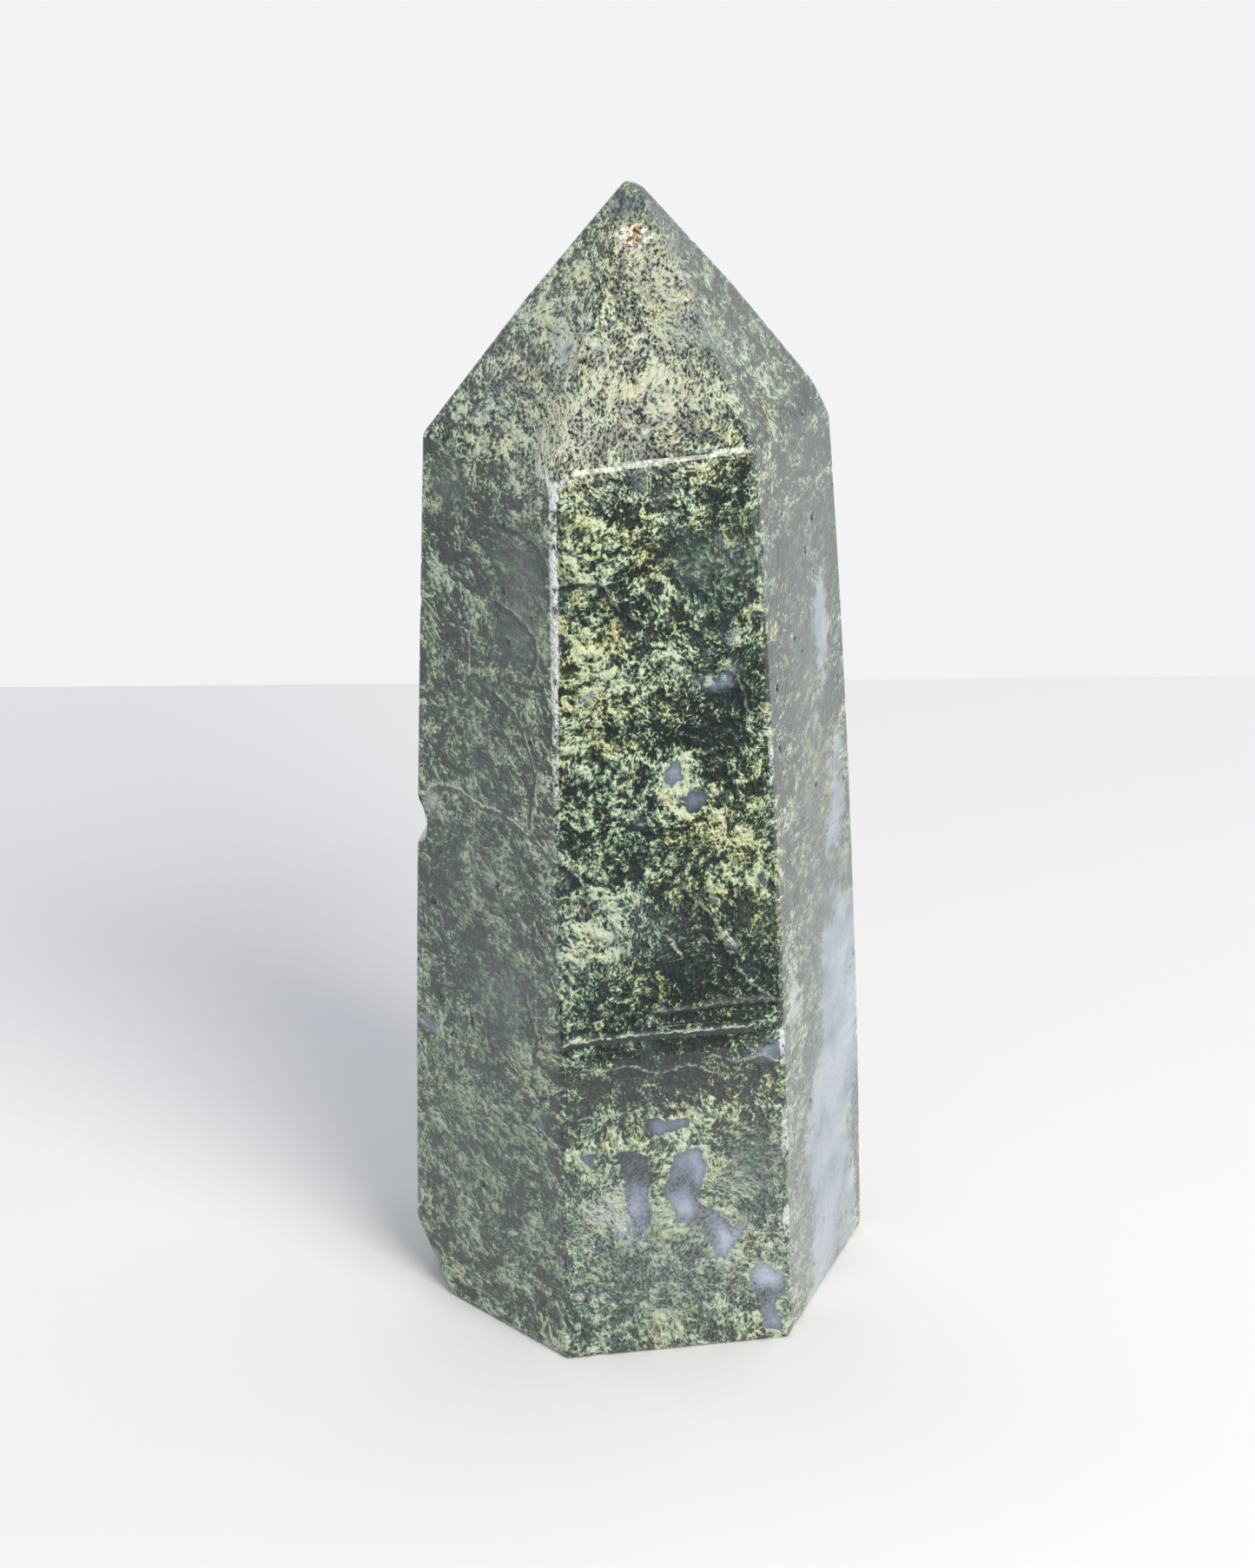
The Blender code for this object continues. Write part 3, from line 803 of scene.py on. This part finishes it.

# %% [markdown]
# ## Where the moss changes
# Moss agate isn't even: the moss thickens and thins, turns from blue-green to rusty yellow, and
# lies deep or at the surface. Those changes are noted as soft round spots. Each one says how much
# it adds to the moss, to its warmth, to the calm of its pattern, and to a pale bloom over it, which
# is partly a painted sheen.

# %% List the soft spots
SPOTS = {  # for each face: across, height, radius in mm, moss, warmth, calm, bloom with painted sheen
    "front": [
        (-4.9, 38.6, 3.2, 0.1, -1, 0, 0),
        (-5.6, 30.9, 2.6, 0.7, 0.3, 0, 0.35),
        (-3, 33, 2, 0.3, -0.4, 0, 0.15),
        (4.4, 38.1, 2.4, 0.5, 0.9, 0, 0.1),
        (6.2, 32, 1.6, 0.5, 0.9, 0.2, 0.1),
        (-5.9, 50.5, 3, 0.8, 0.9, 0, 0),
        (-0.7, 50.7, 2.8, 0.9, -0.1, 0, 0.1),
        (2.2, 46, 3.2, -1.1, -0.4, 0, 0),
        (4.5, 47.9, 1.8, -0.8, -0.3, 0, 0),
        (-2.6, 53.5, 1.8, -0.9, 0.3, 0, 0),
        (1.5, 35.9, 2.8, -0.5, 0.4, 0, 0),
        (-0.3, 31.3, 2.2, -0.9, -0.3, 0.3, 0),
        (-6.6, 38.7, 0.7, -1.5, -1, 0, 0),
        (2.6, 29.3, 3.8, -1.1, -0.1, 0, 0),
        (0.8, 21.6, 3.4, -1.6, 0.1, 0, 0),
        (-5.8, 21.7, 1.6, 0.7, 0.6, 0, 0),
        (-4, 21.2, 3.2, -1.3, 0.2, 0, 0),
        (5.6, 21.4, 3, -1.4, 0.1, 0, 0),
        (-1, 26.5, 2.4, -0.7, 0, 0, 0),
        (5.5, 13.7, 2.6, -0.1, -0.2, 0.7, 0.1),
        (-5.4, 10.9, 2.4, 0.4, 0.4, 0.2, 0.15),
        (-5, 11, 1.4, 0.2, -0.4, 0, 0.8),
        (0, 7, 8, 0.3, -0.15, 0.3, 0.35),
        (-1.3, 5.1, 4.5, 0.2, -0.1, 0.3, 0),
        (-1.1, 62.6, 3.5, -0.6, 0.1, 0, 0),
        (-4, 59, 3.6, 0.3, 0.4, 0, 0),
        (5.7, 57.4, 2.2, 0.3, -0.1, 0.3, 0.1),
        (2, 57.3, 2.2, -0.5, -0.2, 0.7, 0),
    ],
    "left": [
        (-4.1, 60.5, 1.8, -0.3, 0.2, 0.9, 0.1),
        (3.7, 57.1, 3, -0.4, 0.2, 1, 0.1),
        (3.3, 52.2, 2.6, -0.2, 0.2, 0.9, 0.1),
        (-0.4, 34.3, 5, 0, -0.2, 0.2, 0),
        (2.2, 25.6, 3.2, 0, 0.1, 0.6, 0.1),
        (-2.5, 14, 6, 0.2, 0, 0.1, 0.05),
        (5.8, 23.6, 1.5, 0.2, 0.5, 0, 0),
        (-0.3, 45.7, 5, -0.1, -0.3, 0.3, 0),
        (-1, 10, 14, 0.1, -0.8, 0.5, 0),
        (-1, 32, 13, -0.15, -0.9, 0.45, 0),
        (-1, 54, 10, 0, -0.6, 0.25, 0),
    ],
    "right": [
        (2.5, 56.4, 5, 0, -0.2, 0.2, 0),
        (0.4, 47.2, 4, 0.1, 0.1, 0.6, 0.1),
        (1.2, 38, 4.5, 0, 0.4, 0.6, 0.1),
        (3.2, 27, 5, 0.1, -0.4, 0.6, 0.2),
        (2, 15.8, 6.5, 0.2, -0.5, 0.7, 0.25),
        (-1, 6.1, 6, 0.4, -0.5, 0.7, 0.5),
        (2.5, 10, 11, 0, -0.4, 0.6, 0.2),
        (2.5, 30, 11, 0, -0.4, 0.6, 0.05),
        (2.5, 54, 12, -0.9, -0.5, 0.6, 0),
    ],
    "tip_front": [
        (-0.35, 76.8, 1.3, 0.3, 3, 0, 0.3),
        (-0.7, 78.4, 1.6, -0.4, -1, 0.9, 0.3),
        (1.9, 74, 1.7, 1.5, 0.8, 0.5, 0.9),
        (2.3, 71.4, 1.4, 0.6, -0.3, 0.9, 0.5),
        (4.7, 71, 1.4, 0.6, -0.8, 0.9, 0.5),
        (-7, 65.9, 3.4, 0.5, 0.1, 0, 1),
        (2.2, 67, 3.4, 0, 0.3, 0.05, 0.35),
        (-1.3, 66.6, 3.8, 0.3, 0.1, 0.05, 0.55),
        (-4, 71, 3.5, 0, -0.1, 0, 0.4),
        (0.3, 70.5, 3.2, 0, 0.1, 0, 0.35),
        (0.4, 75.6, 2.6, 0.5, 0.1, 0, 0.7),
        (3.2, 69.4, 3, 0.1, 0.1, 0.1, 0.2),
    ],
    "tip_left": [
        (-1.9, 67.5, 4.5, 0.1, -0.3, 0.1, 0.4),
        (-1.9, 72.5, 4, 0.3, -0.1, 0.1, 0.4),
    ],
    "tip_right": [
        (1.4, 76.8, 3, -0.2, -0.3, 0.8, 0.2),
        (2, 70, 5, -0.1, -0.1, 0.5, 0.1),
    ],
}


def measure_spots(points):
    """The four spot values, added up where spots overlap."""
    total = np.zeros((len(points), 4))
    for name, across, height, radius, *values in each(SPOTS):
        away = np.linalg.norm(points / MM - on_face(name, across, height), axis=1)
        total += np.exp(-(away / radius) ** 2)[:, None] * np.array(values)
    return total


print("soft spots:", len(each(SPOTS)))

# %% [markdown]
# ## Wear
# An edge of polished agate rubs to a white frost, most at the shoulders, where it knocks against
# other things. Broken and pitted places are frosted too, as they were never polished. The stone
# keeps two numbers for that: the distance to the nearest edge with how worn that edge is, and the
# depth of the break.

# %% List the worn stretches of edge
WORN = {  # for each face: across, height, radius in mm, how worn
    "front": [
        (-8.3, 63.2, 1.7, 3.2),
        (-8.2, 57.5, 3.5, 1.6),
        (-8.2, 51.5, 4, 1.5),
        (-8.2, 44, 5, 0.8),
        (-3, 64.3, 3, 0.6),
        (2, 64.3, 3, 0.45),
        (6, 64.3, 2.5, 0.4),
        (7.8, 43.6, 1.8, 1.8),
        (7.9, 15, 0.8, 3.4),
        (7.9, 9.4, 0.8, 3.4),
        (7.9, 16.6, 0.6, 2.4),
        (7.9, 22.6, 1.6, 1.4),
    ],
    "tip_front": [
        (6.6, 68, 3.5, 0.3),
        (-6.5, 67.5, 3, 0.4),
        (0, 79, 1.5, 0.4),
    ],
}
EVERYWHERE_WORN = 0.12


def measure_wear(points):
    """Distance to the nearest edge in mm, and how worn the stone is there."""
    edge = np.array([edge_tree.find(Vector(point))[2] for point in points]) / MM
    worn = np.full(len(points), EVERYWHERE_WORN)
    for name, across, height, radius, value in each(WORN):
        away = np.linalg.norm(points / MM - on_face(name, across, height), axis=1)
        worn += np.exp(-(away / radius) ** 2) * value
    return np.minimum(edge, FAR), worn


print("worn stretches:", len(each(WORN)))


# %% Write the measures onto the stone's points
def store(name, kind, values):
    layer = stone.data.attributes.new(name, kind, "POINT")
    member = {"FLOAT_VECTOR": "vector", "FLOAT_COLOR": "color"}[kind]
    layer.data.foreach_set(member, np.asarray(values, dtype=np.float32).ravel())


points = skin_points(stone.data)
offset, lip_highlights, gap_shadows, step = measure_lines(points)
window, paleness = measure_windows(points)
spots = measure_spots(points)
edge, worn = measure_wear(points)
broken = depth_below_hull(points)
# The line attribute keeps the offset, the painted highlight and the painted shadow of the nearest crack
store("line", "FLOAT_VECTOR", np.stack([offset, lip_highlights, gap_shadows], axis=1))
store("window", "FLOAT_VECTOR", np.stack([window, paleness, np.zeros(len(points))], axis=1))
store("moss", "FLOAT_COLOR", spots)
store("wear", "FLOAT_VECTOR", np.stack([edge, worn, np.clip(broken, 0, 1)], axis=1))
print("marked", len(points), "points, inside windows:", int((window < 0).sum()))

# %% [markdown]
# ## Polished moss agate
# The real stone is chalcedony, a quartz too fine to see, around green silicate threads that grew
# like moss. It was sawn, ground flat and polished. The polish is a clear layer with an even
# gloss, so it is the shader's coat. Below it the colour is built in steps: the threads, the
# hollows between them, their hue, the chalcedony windows, the cracks, and the frosted wear. The
# pattern lives in Object coordinates turned to millimetres, so a noise of scale 2 has lumps of
# about half a millimetre, and it runs through the stone instead of lying on each face.

# %% Bend the space that the pattern is drawn in
MAPPING, ATTRIBUTE, SPLIT = "ShaderNodeMapping", "ShaderNodeAttribute", "ShaderNodeSeparateXYZ"
tree = agate.node_tree
shader = tree.nodes["Principled BSDF"]
place = add(tree, "ShaderNodeTexCoord")
in_mm = add(tree, MAPPING, inputs={"Vector": place.outputs["Object"], "Scale": (1 / MM, 1 / MM, 1 / MM)})
sheets = add(tree, MAPPING, inputs={"Vector": in_mm, "Scale": (1.0, 0.55, 1.0)})


def bent(place, scale, reach):
    """The place moved by smooth noise, so that a pattern drawn there flows."""
    swirl = add(tree, NOISE, inputs={"Vector": place, "Scale": scale, "Detail": 1.5})
    centred = add(tree, VECTOR, "SUBTRACT", (swirl.outputs["Color"], (0.5, 0.5, 0.5)))
    return add(tree, VECTOR, "MULTIPLY_ADD", (centred, (reach,) * 3, place))


flow = bent(bent(sheets, 0.16, 2.6), 0.8, 0.35)
upright = add(tree, MAPPING, inputs={"Vector": flow, "Rotation": (0.25, 0.5, 0.3), "Scale": (1, 1, 0.8)})
print("the pattern flows over mm:", [round(1 / scale, 2) for scale in (0.16, 0.8)])


# %% Read the stone's own marks
def stored(name):
    """The three values that the stone's points keep under a name."""
    values = add(tree, ATTRIBUTE, {"attribute_name": name})
    return add(tree, SPLIT, inputs=(values.outputs["Vector"],)), values


line, pane, rubbed = (stored(name)[0].outputs for name in ("line", "window", "wear"))
moss, spot = stored("moss")
more_moss, warmth, calm = moss.outputs
bloom_and_sheen = spot.outputs["Alpha"]
print("marks read from the points: line, window, wear, moss")

# %% [markdown]
# ## Threads and hollows
# Under the polish the moss is a felt of threads of all sizes, with dark hollows where the light
# doesn't come back. Noises of four sizes are weighed and added up, from fibres of a fifth of a
# millimetre to clumps of three. Thin winding threads and open pores join them. Where the sum is
# high the moss is pale and near the surface, and where it is low the stone is dark.

# %% Felt the moss
coarse = add(tree, NOISE, inputs={"Vector": flow, "Scale": 0.95, "Detail": 3.0, "Roughness": 0.62})
middle = add(tree, NOISE, inputs={"Vector": upright, "Scale": 2.3, "Detail": 2.0, "Roughness": 0.6})
fine = add(tree, NOISE, inputs={"Vector": upright, "Scale": 5.4, "Detail": 1.5})
clump = add(tree, NOISE, inputs={"Vector": flow, "Scale": 0.36, "Detail": 2.0})
hollow = add(tree, NOISE, inputs={"Vector": flow, "Scale": 0.75, "Detail": 2.5, "Roughness": 0.6})


def thread(source, width):
    """Bright where a noise crosses its middle value, which draws thin winding threads."""
    middle_value = add(tree, MATHS, "SUBTRACT", (source, 0.5))
    away = add(tree, MATHS, "ABSOLUTE", (middle_value,))
    return add(tree, RANGE, inputs=(away, 0.0, width, 1.0, 0.0))


def summed(total, *parts):
    """A value with shares of other values added to it."""
    for value, share in parts:
        total = add(tree, MATHS, "MULTIPLY_ADD", (value, share, total))
    return total


pores = add(tree, "ShaderNodeTexVoronoi", inputs={"Vector": upright, "Scale": 2.3})
pore = add(tree, RANGE, inputs=(pores, 0.22, 0.42, 1.0, 0.0))
open_pore = add(tree, "ShaderNodeSeparateColor", inputs=(pores.outputs["Color"],))
pore_chance = add(tree, RANGE, inputs=(open_pore, 0.35, 0.75))
pore = add(tree, MATHS, "MULTIPLY", (pore, pore_chance))
sunk = add(tree, RANGE, inputs=(hollow, 0.33, 0.46, -0.65, 0.0))
halo = add(tree, RANGE, inputs=(pane["X"], 0.0, 0.8, 0.4, 0.0))
felt = add(tree, MATHS, "ADD", (sunk, halo))
felt = summed(felt, (thread(middle, 0.05), 0.25), (thread(coarse, 0.022), 0.3), (fine, 1.75),
              (middle, 1.5), (coarse, 1.75), (clump, 1.1), (pore, -0.5), (more_moss, 0.3))
height = add(tree, RANGE, inputs=(felt, 2.70, 3.40))
print("nodes so far:", len(tree.nodes))

# %% [markdown]
# ## Shells and calm places
# The moss grew in shells, one over the other, and their broken rims show as ledges. Each crest gets
# a painted highlight and each foot a painted shade. A slow noise times nine, of which only the part
# after the point is kept, climbs and falls like such ledges. Where the stone is calm, a slower level
# takes over, as the moss lies deeper there and shows through milky stone.

# %% Ledges with a painted highlight and shade, and the calm level
shells = add(tree, NOISE, inputs={"Vector": flow, "Scale": 0.40, "Detail": 2.5, "Roughness": 0.45})
shells = add(tree, MATHS, "MULTIPLY", (shells, 9.0))
shell = add(tree, MATHS, "FRACT", (shells,))
rise = add(tree, RANGE, inputs=(shell, 0.0, 0.72))
drop = add(tree, RANGE, inputs=(shell, 0.72, 1.0, 1.0, 0.0))
ledge = add(tree, MATHS, "MINIMUM", (rise, drop))
# Painted highlight along each ledge's crest, and painted shade at its foot
crest_highlight = add(tree, RANGE, {"interpolation_type": "SMOOTHSTEP"}, (ledge, 0.80, 1.0))
foot_shade = add(tree, RANGE, inputs=(rise, 0.0, 0.22, 1.0, 0.0))
shown = add(tree, RANGE, inputs=(hollow, 0.47, 0.56))
crest_highlight = add(tree, MATHS, "MULTIPLY", (crest_highlight, shown))
foot_shade = add(tree, MATHS, "MULTIPLY", (foot_shade, shown))
calmer = add(tree, RANGE, inputs=(calm, 0.0, 1.2, 0.0, 0.85))
slow_level = summed(-0.43, (coarse, 1.1), (clump, 0.6))
level = add(tree, MIX, {"data_type": "FLOAT"}, {0: calmer, 2: height, 3: slow_level})
level = summed(level, (crest_highlight, 0.22), (foot_shade, -0.2))
print("nodes so far:", len(tree.nodes))

# %% [markdown]
# ## Light on the tufts inside the stone
# Tufts below the polish are lit from the same side as the stone, so each has a pale side and a
# dark side. The shader can't light what is inside a solid colour. So the coarse noise is read
# twice, the second time a fifth of a millimetre towards the light. Where it falls away in that
# direction the tuft faces the light.

# %% Painted light on the tufts, and the bloom with its painted sheen
TOWARDS_LIGHT = (0.10, -0.05, 0.15)  # mm
further = add(tree, VECTOR, "ADD", (flow, TOWARDS_LIGHT))
beyond = add(tree, NOISE, inputs={"Vector": further, "Scale": 0.95, "Detail": 3.0, "Roughness": 0.62})
# The pale side and the dark side of each tuft are painted light and painted shade in the colour
lit = add(tree, MATHS, "SUBTRACT", (coarse, beyond))
lit_share = add(tree, RANGE, inputs=(calmer, 0.0, 1.0, 1.6, 0.9))
# The bloom, which is partly painted sheen, also lifts the moss a little
level = summed(level, (lit, lit_share), (bloom_and_sheen, 0.2))
print("the light is read, mm away:", round(math.hypot(*TOWARDS_LIGHT), 2))

# %% [markdown]
# ## The hues of the moss
# Green moss agate holds two greens: the cool one of iron that kept its green, and the yellowish
# one where the iron began to rust. Each has a ramp from the black of a deep hollow to the pale
# tip of a tuft, and a slow noise turns one into the other.

# %% Colour the moss
COOL = [(0.0, "0A1114"), (0.22, "1C2C28"), (0.42, "3B5245"), (0.6, "5D785F"), (0.8, "93AC86"),
        (1.0, "D3E0BE")]
WARM = [(0.0, "0E1310"), (0.22, "252E1E"), (0.42, "4A5733"), (0.6, "717D49"), (0.8, "A9AE76"),
        (1.0, "E2E0B2")]
CALM_VEIL = [(0.44, "51685F"), (0.56, "606066")]
TINTS = {"data_type": "RGBA"}
cool_moss = add(tree, RAMP, {"stops": COOL}, (level,))
warm_moss = add(tree, RAMP, {"stops": WARM}, (level,))
hue = add(tree, NOISE, inputs={"Vector": flow, "Scale": 0.5, "Detail": 3.0, "Roughness": 0.6})
hue = summed(hue, (warmth, 0.16))
hue = add(tree, RANGE, inputs=(hue, 0.42, 0.66))
moss_colour = add(tree, MIX, TINTS, {0: hue, 6: cool_moss, 7: warm_moss})
veil = add(tree, RAMP, {"stops": CALM_VEIL}, (clump,))
greyed = add(tree, MATHS, "MULTIPLY", (calmer, 0.6))
moss_colour = add(tree, MIX, TINTS, {0: greyed, 6: moss_colour, 7: veil})
print("ramp stops:", len(COOL) + len(WARM) + len(CALM_VEIL))

# %% [markdown]
# ## Chalcedony in the windows
# A window's drawn outline is too smooth for a stone, so noise frays it by a few tenths of a
# millimetre. Pale windows lie deeper: they have a soft edge, break up into wisps and let some
# moss through. The body goes from almost black to milky blue, and dark windows have a darker rim
# where the stone curves down below the moss. Small pools also grow wherever a slow noise is low.

# %% Fill the windows
WINDOW_BODY = [(0.35, "1E262B"), (0.52, "3C474F"), (0.7, "8290A4"), (0.95, "B2BDCB")]
WINDOW_RIM = "39403F"
PALE_FROM, PALE_TO = 0.9, 1.2  # paleness at which a window's edge turns soft
ragged = add(tree, NOISE, inputs={"Vector": in_mm, "Scale": 1.6, "Detail": 3.0, "Roughness": 0.65})
inward = summed(pane["X"], (ragged, 0.65), (coarse, 0.3))
inward = add(tree, MATHS, "SUBTRACT", (inward, 0.15))
soft = add(tree, RANGE, inputs=(pane["Y"], PALE_FROM, PALE_TO, 0.07, 0.5))
wisps = add(tree, NOISE, inputs={"Vector": flow, "Scale": 0.55, "Detail": 4.0, "Roughness": 0.65})
wisps = add(tree, MATHS, "SUBTRACT", (wisps, 0.44))
breaking = add(tree, RANGE, inputs=(pane["Y"], PALE_FROM, PALE_TO, 1.0, 7.0))
inward = summed(inward, (wisps, breaking))
outer = add(tree, MATHS, "ADD", (0.38, soft))
inner = add(tree, MATHS, "SUBTRACT", (0.38, soft))
veiled = add(tree, RANGE, inputs=(soft, 0.07, 0.5, 1.0, 0.72))
drawn = add(tree, RANGE, inputs=(inward, outer, inner, 0.0, veiled))
pools = add(tree, NOISE, inputs={"Vector": flow, "Scale": 0.26, "Detail": 2.5, "Roughness": 0.55})
pools = summed(pools, (more_moss, 0.05), (calm, 0.08))
grown_in = add(tree, RANGE, inputs=(pools, 0.385, 0.29, 0.0, 0.8))
clear = add(tree, MATHS, "MAXIMUM", (drawn, grown_in))
milk = add(tree, NOISE, inputs={"Vector": flow, "Scale": 0.36, "Detail": 1.5})
milk = summed(milk, (pane["Y"], 0.25), (calm, 0.05))
pane_body = add(tree, RAMP, {"stops": WINDOW_BODY}, (milk,))
rim = add(tree, RANGE, inputs=(inward, -0.4, 0.28, 0.0, 0.75))
rim = add(tree, MATHS, "MULTIPLY", (rim, drawn))
rimmed = add(tree, RANGE, inputs=(pane["Y"], 0.8, 1.1, 1.0, 0.0))
rim = add(tree, MATHS, "MULTIPLY", (rim, rimmed))
pane_colour = add(tree, MIX, TINTS, {0: rim, 6: pane_body, 7: linear(WINDOW_RIM)})
colour = add(tree, MIX, TINTS, {0: clear, 6: moss_colour, 7: pane_colour})
print("nodes so far:", len(tree.nodes))

# %% [markdown]
# ## Rust, and painted light on the cracks
# Small grains of iron in the moss have rusted to an ochre. Along a healed crack, a pale lip is a
# painted highlight and the dark gap beside it is a painted shadow. Both read the signed distance
# that the points keep, made to wander by a noise, so the lip is about a tenth of a millimetre wide
# and breaks off here and there.

# %% Colour the rust, and paint the cracks' highlight and shadow
RUST, GAP_SHADOW, LIP_HIGHLIGHT = "B98A4A", "141B1C", "D3DCC8"
rust = add(tree, NOISE, inputs={"Vector": flow, "Scale": 1.9, "Detail": 2.0})
rust = add(tree, RANGE, inputs=(rust, 0.70, 0.78, 0.0, 0.8))
mossy = add(tree, MATHS, "SUBTRACT", (1.0, clear))
rust = add(tree, MATHS, "MULTIPLY", (rust, mossy))
colour = add(tree, MIX, TINTS, {0: rust, 6: colour, 7: linear(RUST)})
wander = add(tree, NOISE, inputs={"Vector": in_mm, "Scale": 1.8, "Detail": 3.0, "Roughness": 0.7})
side = summed(line["X"], (wander, 0.7))
side = add(tree, MATHS, "SUBTRACT", (side, 0.35))
# Painted highlight on the crack's lip, and painted shadow in the gap beside it
from_lip = add(tree, MATHS, "SUBTRACT", (side, 0.13))
from_lip = add(tree, MATHS, "ABSOLUTE", (from_lip,))
lip_highlight = add(tree, RANGE, inputs=(from_lip, 0.02, 0.14, 0.85, 0.0))
patchy = add(tree, RANGE, inputs=(middle, 0.36, 0.56, 0.05))
lip_highlight = add(tree, MATHS, "MULTIPLY", (lip_highlight, patchy))
lip_highlight = add(tree, MATHS, "MULTIPLY", (lip_highlight, line["Y"]))
from_gap = add(tree, MATHS, "ADD", (side, 0.12))
from_gap = add(tree, MATHS, "ABSOLUTE", (from_gap,))
gap_shadow = add(tree, RANGE, inputs=(from_gap, 0.08, 0.34, 1.0, 0.0))
gap_shadow = add(tree, MATHS, "MULTIPLY", (gap_shadow, line["Z"]))
colour = add(tree, MIX, TINTS, {0: gap_shadow, 6: colour, 7: linear(GAP_SHADOW)})
colour = add(tree, MIX, TINTS, {0: lip_highlight, 6: colour, 7: linear(LIP_HIGHLIGHT)})
print("nodes so far:", len(tree.nodes))

# %% [markdown]
# ## Frost, haze and crystals
# Rubbed edges and breaks scatter light and look white, so frost lies where the distance to the
# nearest edge is less than that edge's wear, frayed by a gritty noise. Bloom is a pale haze, partly
# fine cracks just below the polish and partly a painted sheen of the bright room. The crystals in
# the hollow are clear, cream and rusty.

# %% Frost the edges and breaks
FROST, COOL_HAZE_AND_SHEEN, CREAM_HAZE_AND_SHEEN = "DDE3E2", "9BA3B8", "C6C5B6"
CRYSTALS = [(0.36, "3A3A30"), (0.44, "A8762F"), (0.5, "C9C7AE"), (0.58, "FFFFFF")]
grit = add(tree, NOISE, inputs={"Vector": in_mm, "Scale": 3.2, "Detail": 3.0, "Roughness": 0.7})
frost = summed(-0.33, (rubbed["Y"], 0.14), (grit, 0.55))
frost = add(tree, MATHS, "SUBTRACT", (frost, rubbed["X"]))
frost = add(tree, RANGE, inputs=(frost, 0.0, 0.12, 0.0, 0.85))
torn = add(tree, RANGE, inputs=(rubbed["Z"], 0.05, 0.3, 0.0, 0.6))
frosted = add(tree, MATHS, "MAXIMUM", (frost, torn))
patches = add(tree, RANGE, inputs=(fine, 0.40, 0.58, 0.0, 0.9))
# Bloom haze, partly a painted sheen of reflected light, laid over the colour
haze_and_sheen = add(tree, MATHS, "MULTIPLY", (bloom_and_sheen, patches))
cream = add(tree, RANGE, inputs=(warmth, -0.8, 0.0))
haze_and_sheen_colour = add(tree, MIX, TINTS, {0: cream, 6: linear(COOL_HAZE_AND_SHEEN), 7: linear(CREAM_HAZE_AND_SHEEN)})
colour = add(tree, MIX, TINTS, {0: haze_and_sheen, 6: colour, 7: haze_and_sheen_colour})
druse_tint = add(tree, NOISE, inputs={"Vector": in_mm, "Scale": 2.6, "Detail": 2.0, "Roughness": 0.7})
druse_tint = add(tree, RAMP, {"stops": CRYSTALS}, (druse_tint,))
druse = summed(warmth, (ragged, 1.8))
druse = add(tree, RANGE, inputs=(druse, 2.2, 2.6))
frost_colour = add(tree, MIX, TINTS, {0: druse, 6: linear(FROST), 7: druse_tint})
frosted = add(tree, MATHS, "MAXIMUM", (frosted, druse))
colour = add(tree, MIX, TINTS, {0: frosted, 6: colour, 7: frost_colour})
print("nodes so far:", len(tree.nodes))

# %% [markdown]
# ## The polish
# Agate takes a glassy polish, so the coat is almost smooth and has the index of quartz. Frost
# takes the coat away and leaves the stone rough. Below the coat a bump gives the moss its relief.
# It touches the layer under the polish only, so the gloss on top stays as flat as the wheel left
# it. Clear windows get almost no bump.

# %% Set the shader
POLISH_ROUGHNESS, STONE_IOR, INNER_SPECULAR = 0.06, 1.54, 0.2
RELIEF_DEPTH = 0.7 * MM
dull = add(tree, RANGE, inputs=(frosted, 0.0, 1.0, 1.0, 0.1))
rough = add(tree, RANGE, inputs=(frosted, 0.0, 1.0, 0.38, 0.7))
grain = summed(coarse, (fine, 0.3), (middle, 0.6), (ledge, 0.15))
covered = add(tree, RANGE, inputs=(clear, 0.0, 1.0, 0.9, 0.15))
relief = add(tree, "ShaderNodeBump", inputs={"Height": grain, "Distance": RELIEF_DEPTH, "Strength": covered})
fill(tree, shader, {
    "IOR": STONE_IOR, "Coat Roughness": POLISH_ROUGHNESS, "Coat IOR": STONE_IOR,
    "Specular IOR Level": INNER_SPECULAR, "Base Color": colour, "Roughness": rough,
    "Coat Weight": dull, "Normal": relief})
print("material:", len(tree.nodes), "nodes")

# %% [markdown]
# ## Hand the stone over
# The faces are smooth-shaded up to a crease angle, so the skin's small triangles don't show and
# the ground edges stay crisp. Then the stone is hung on the root body in place of the solid, which
# is hidden.

# %% Smooth shading
CREASE = math.radians(32)
stone.data.shade_smooth()
stone.data.set_sharp_from_angle(angle=CREASE)
print("crease angle, degrees:", round(math.degrees(CREASE)))

# %% Hand over
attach(stone, "root")
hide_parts("agate_point")
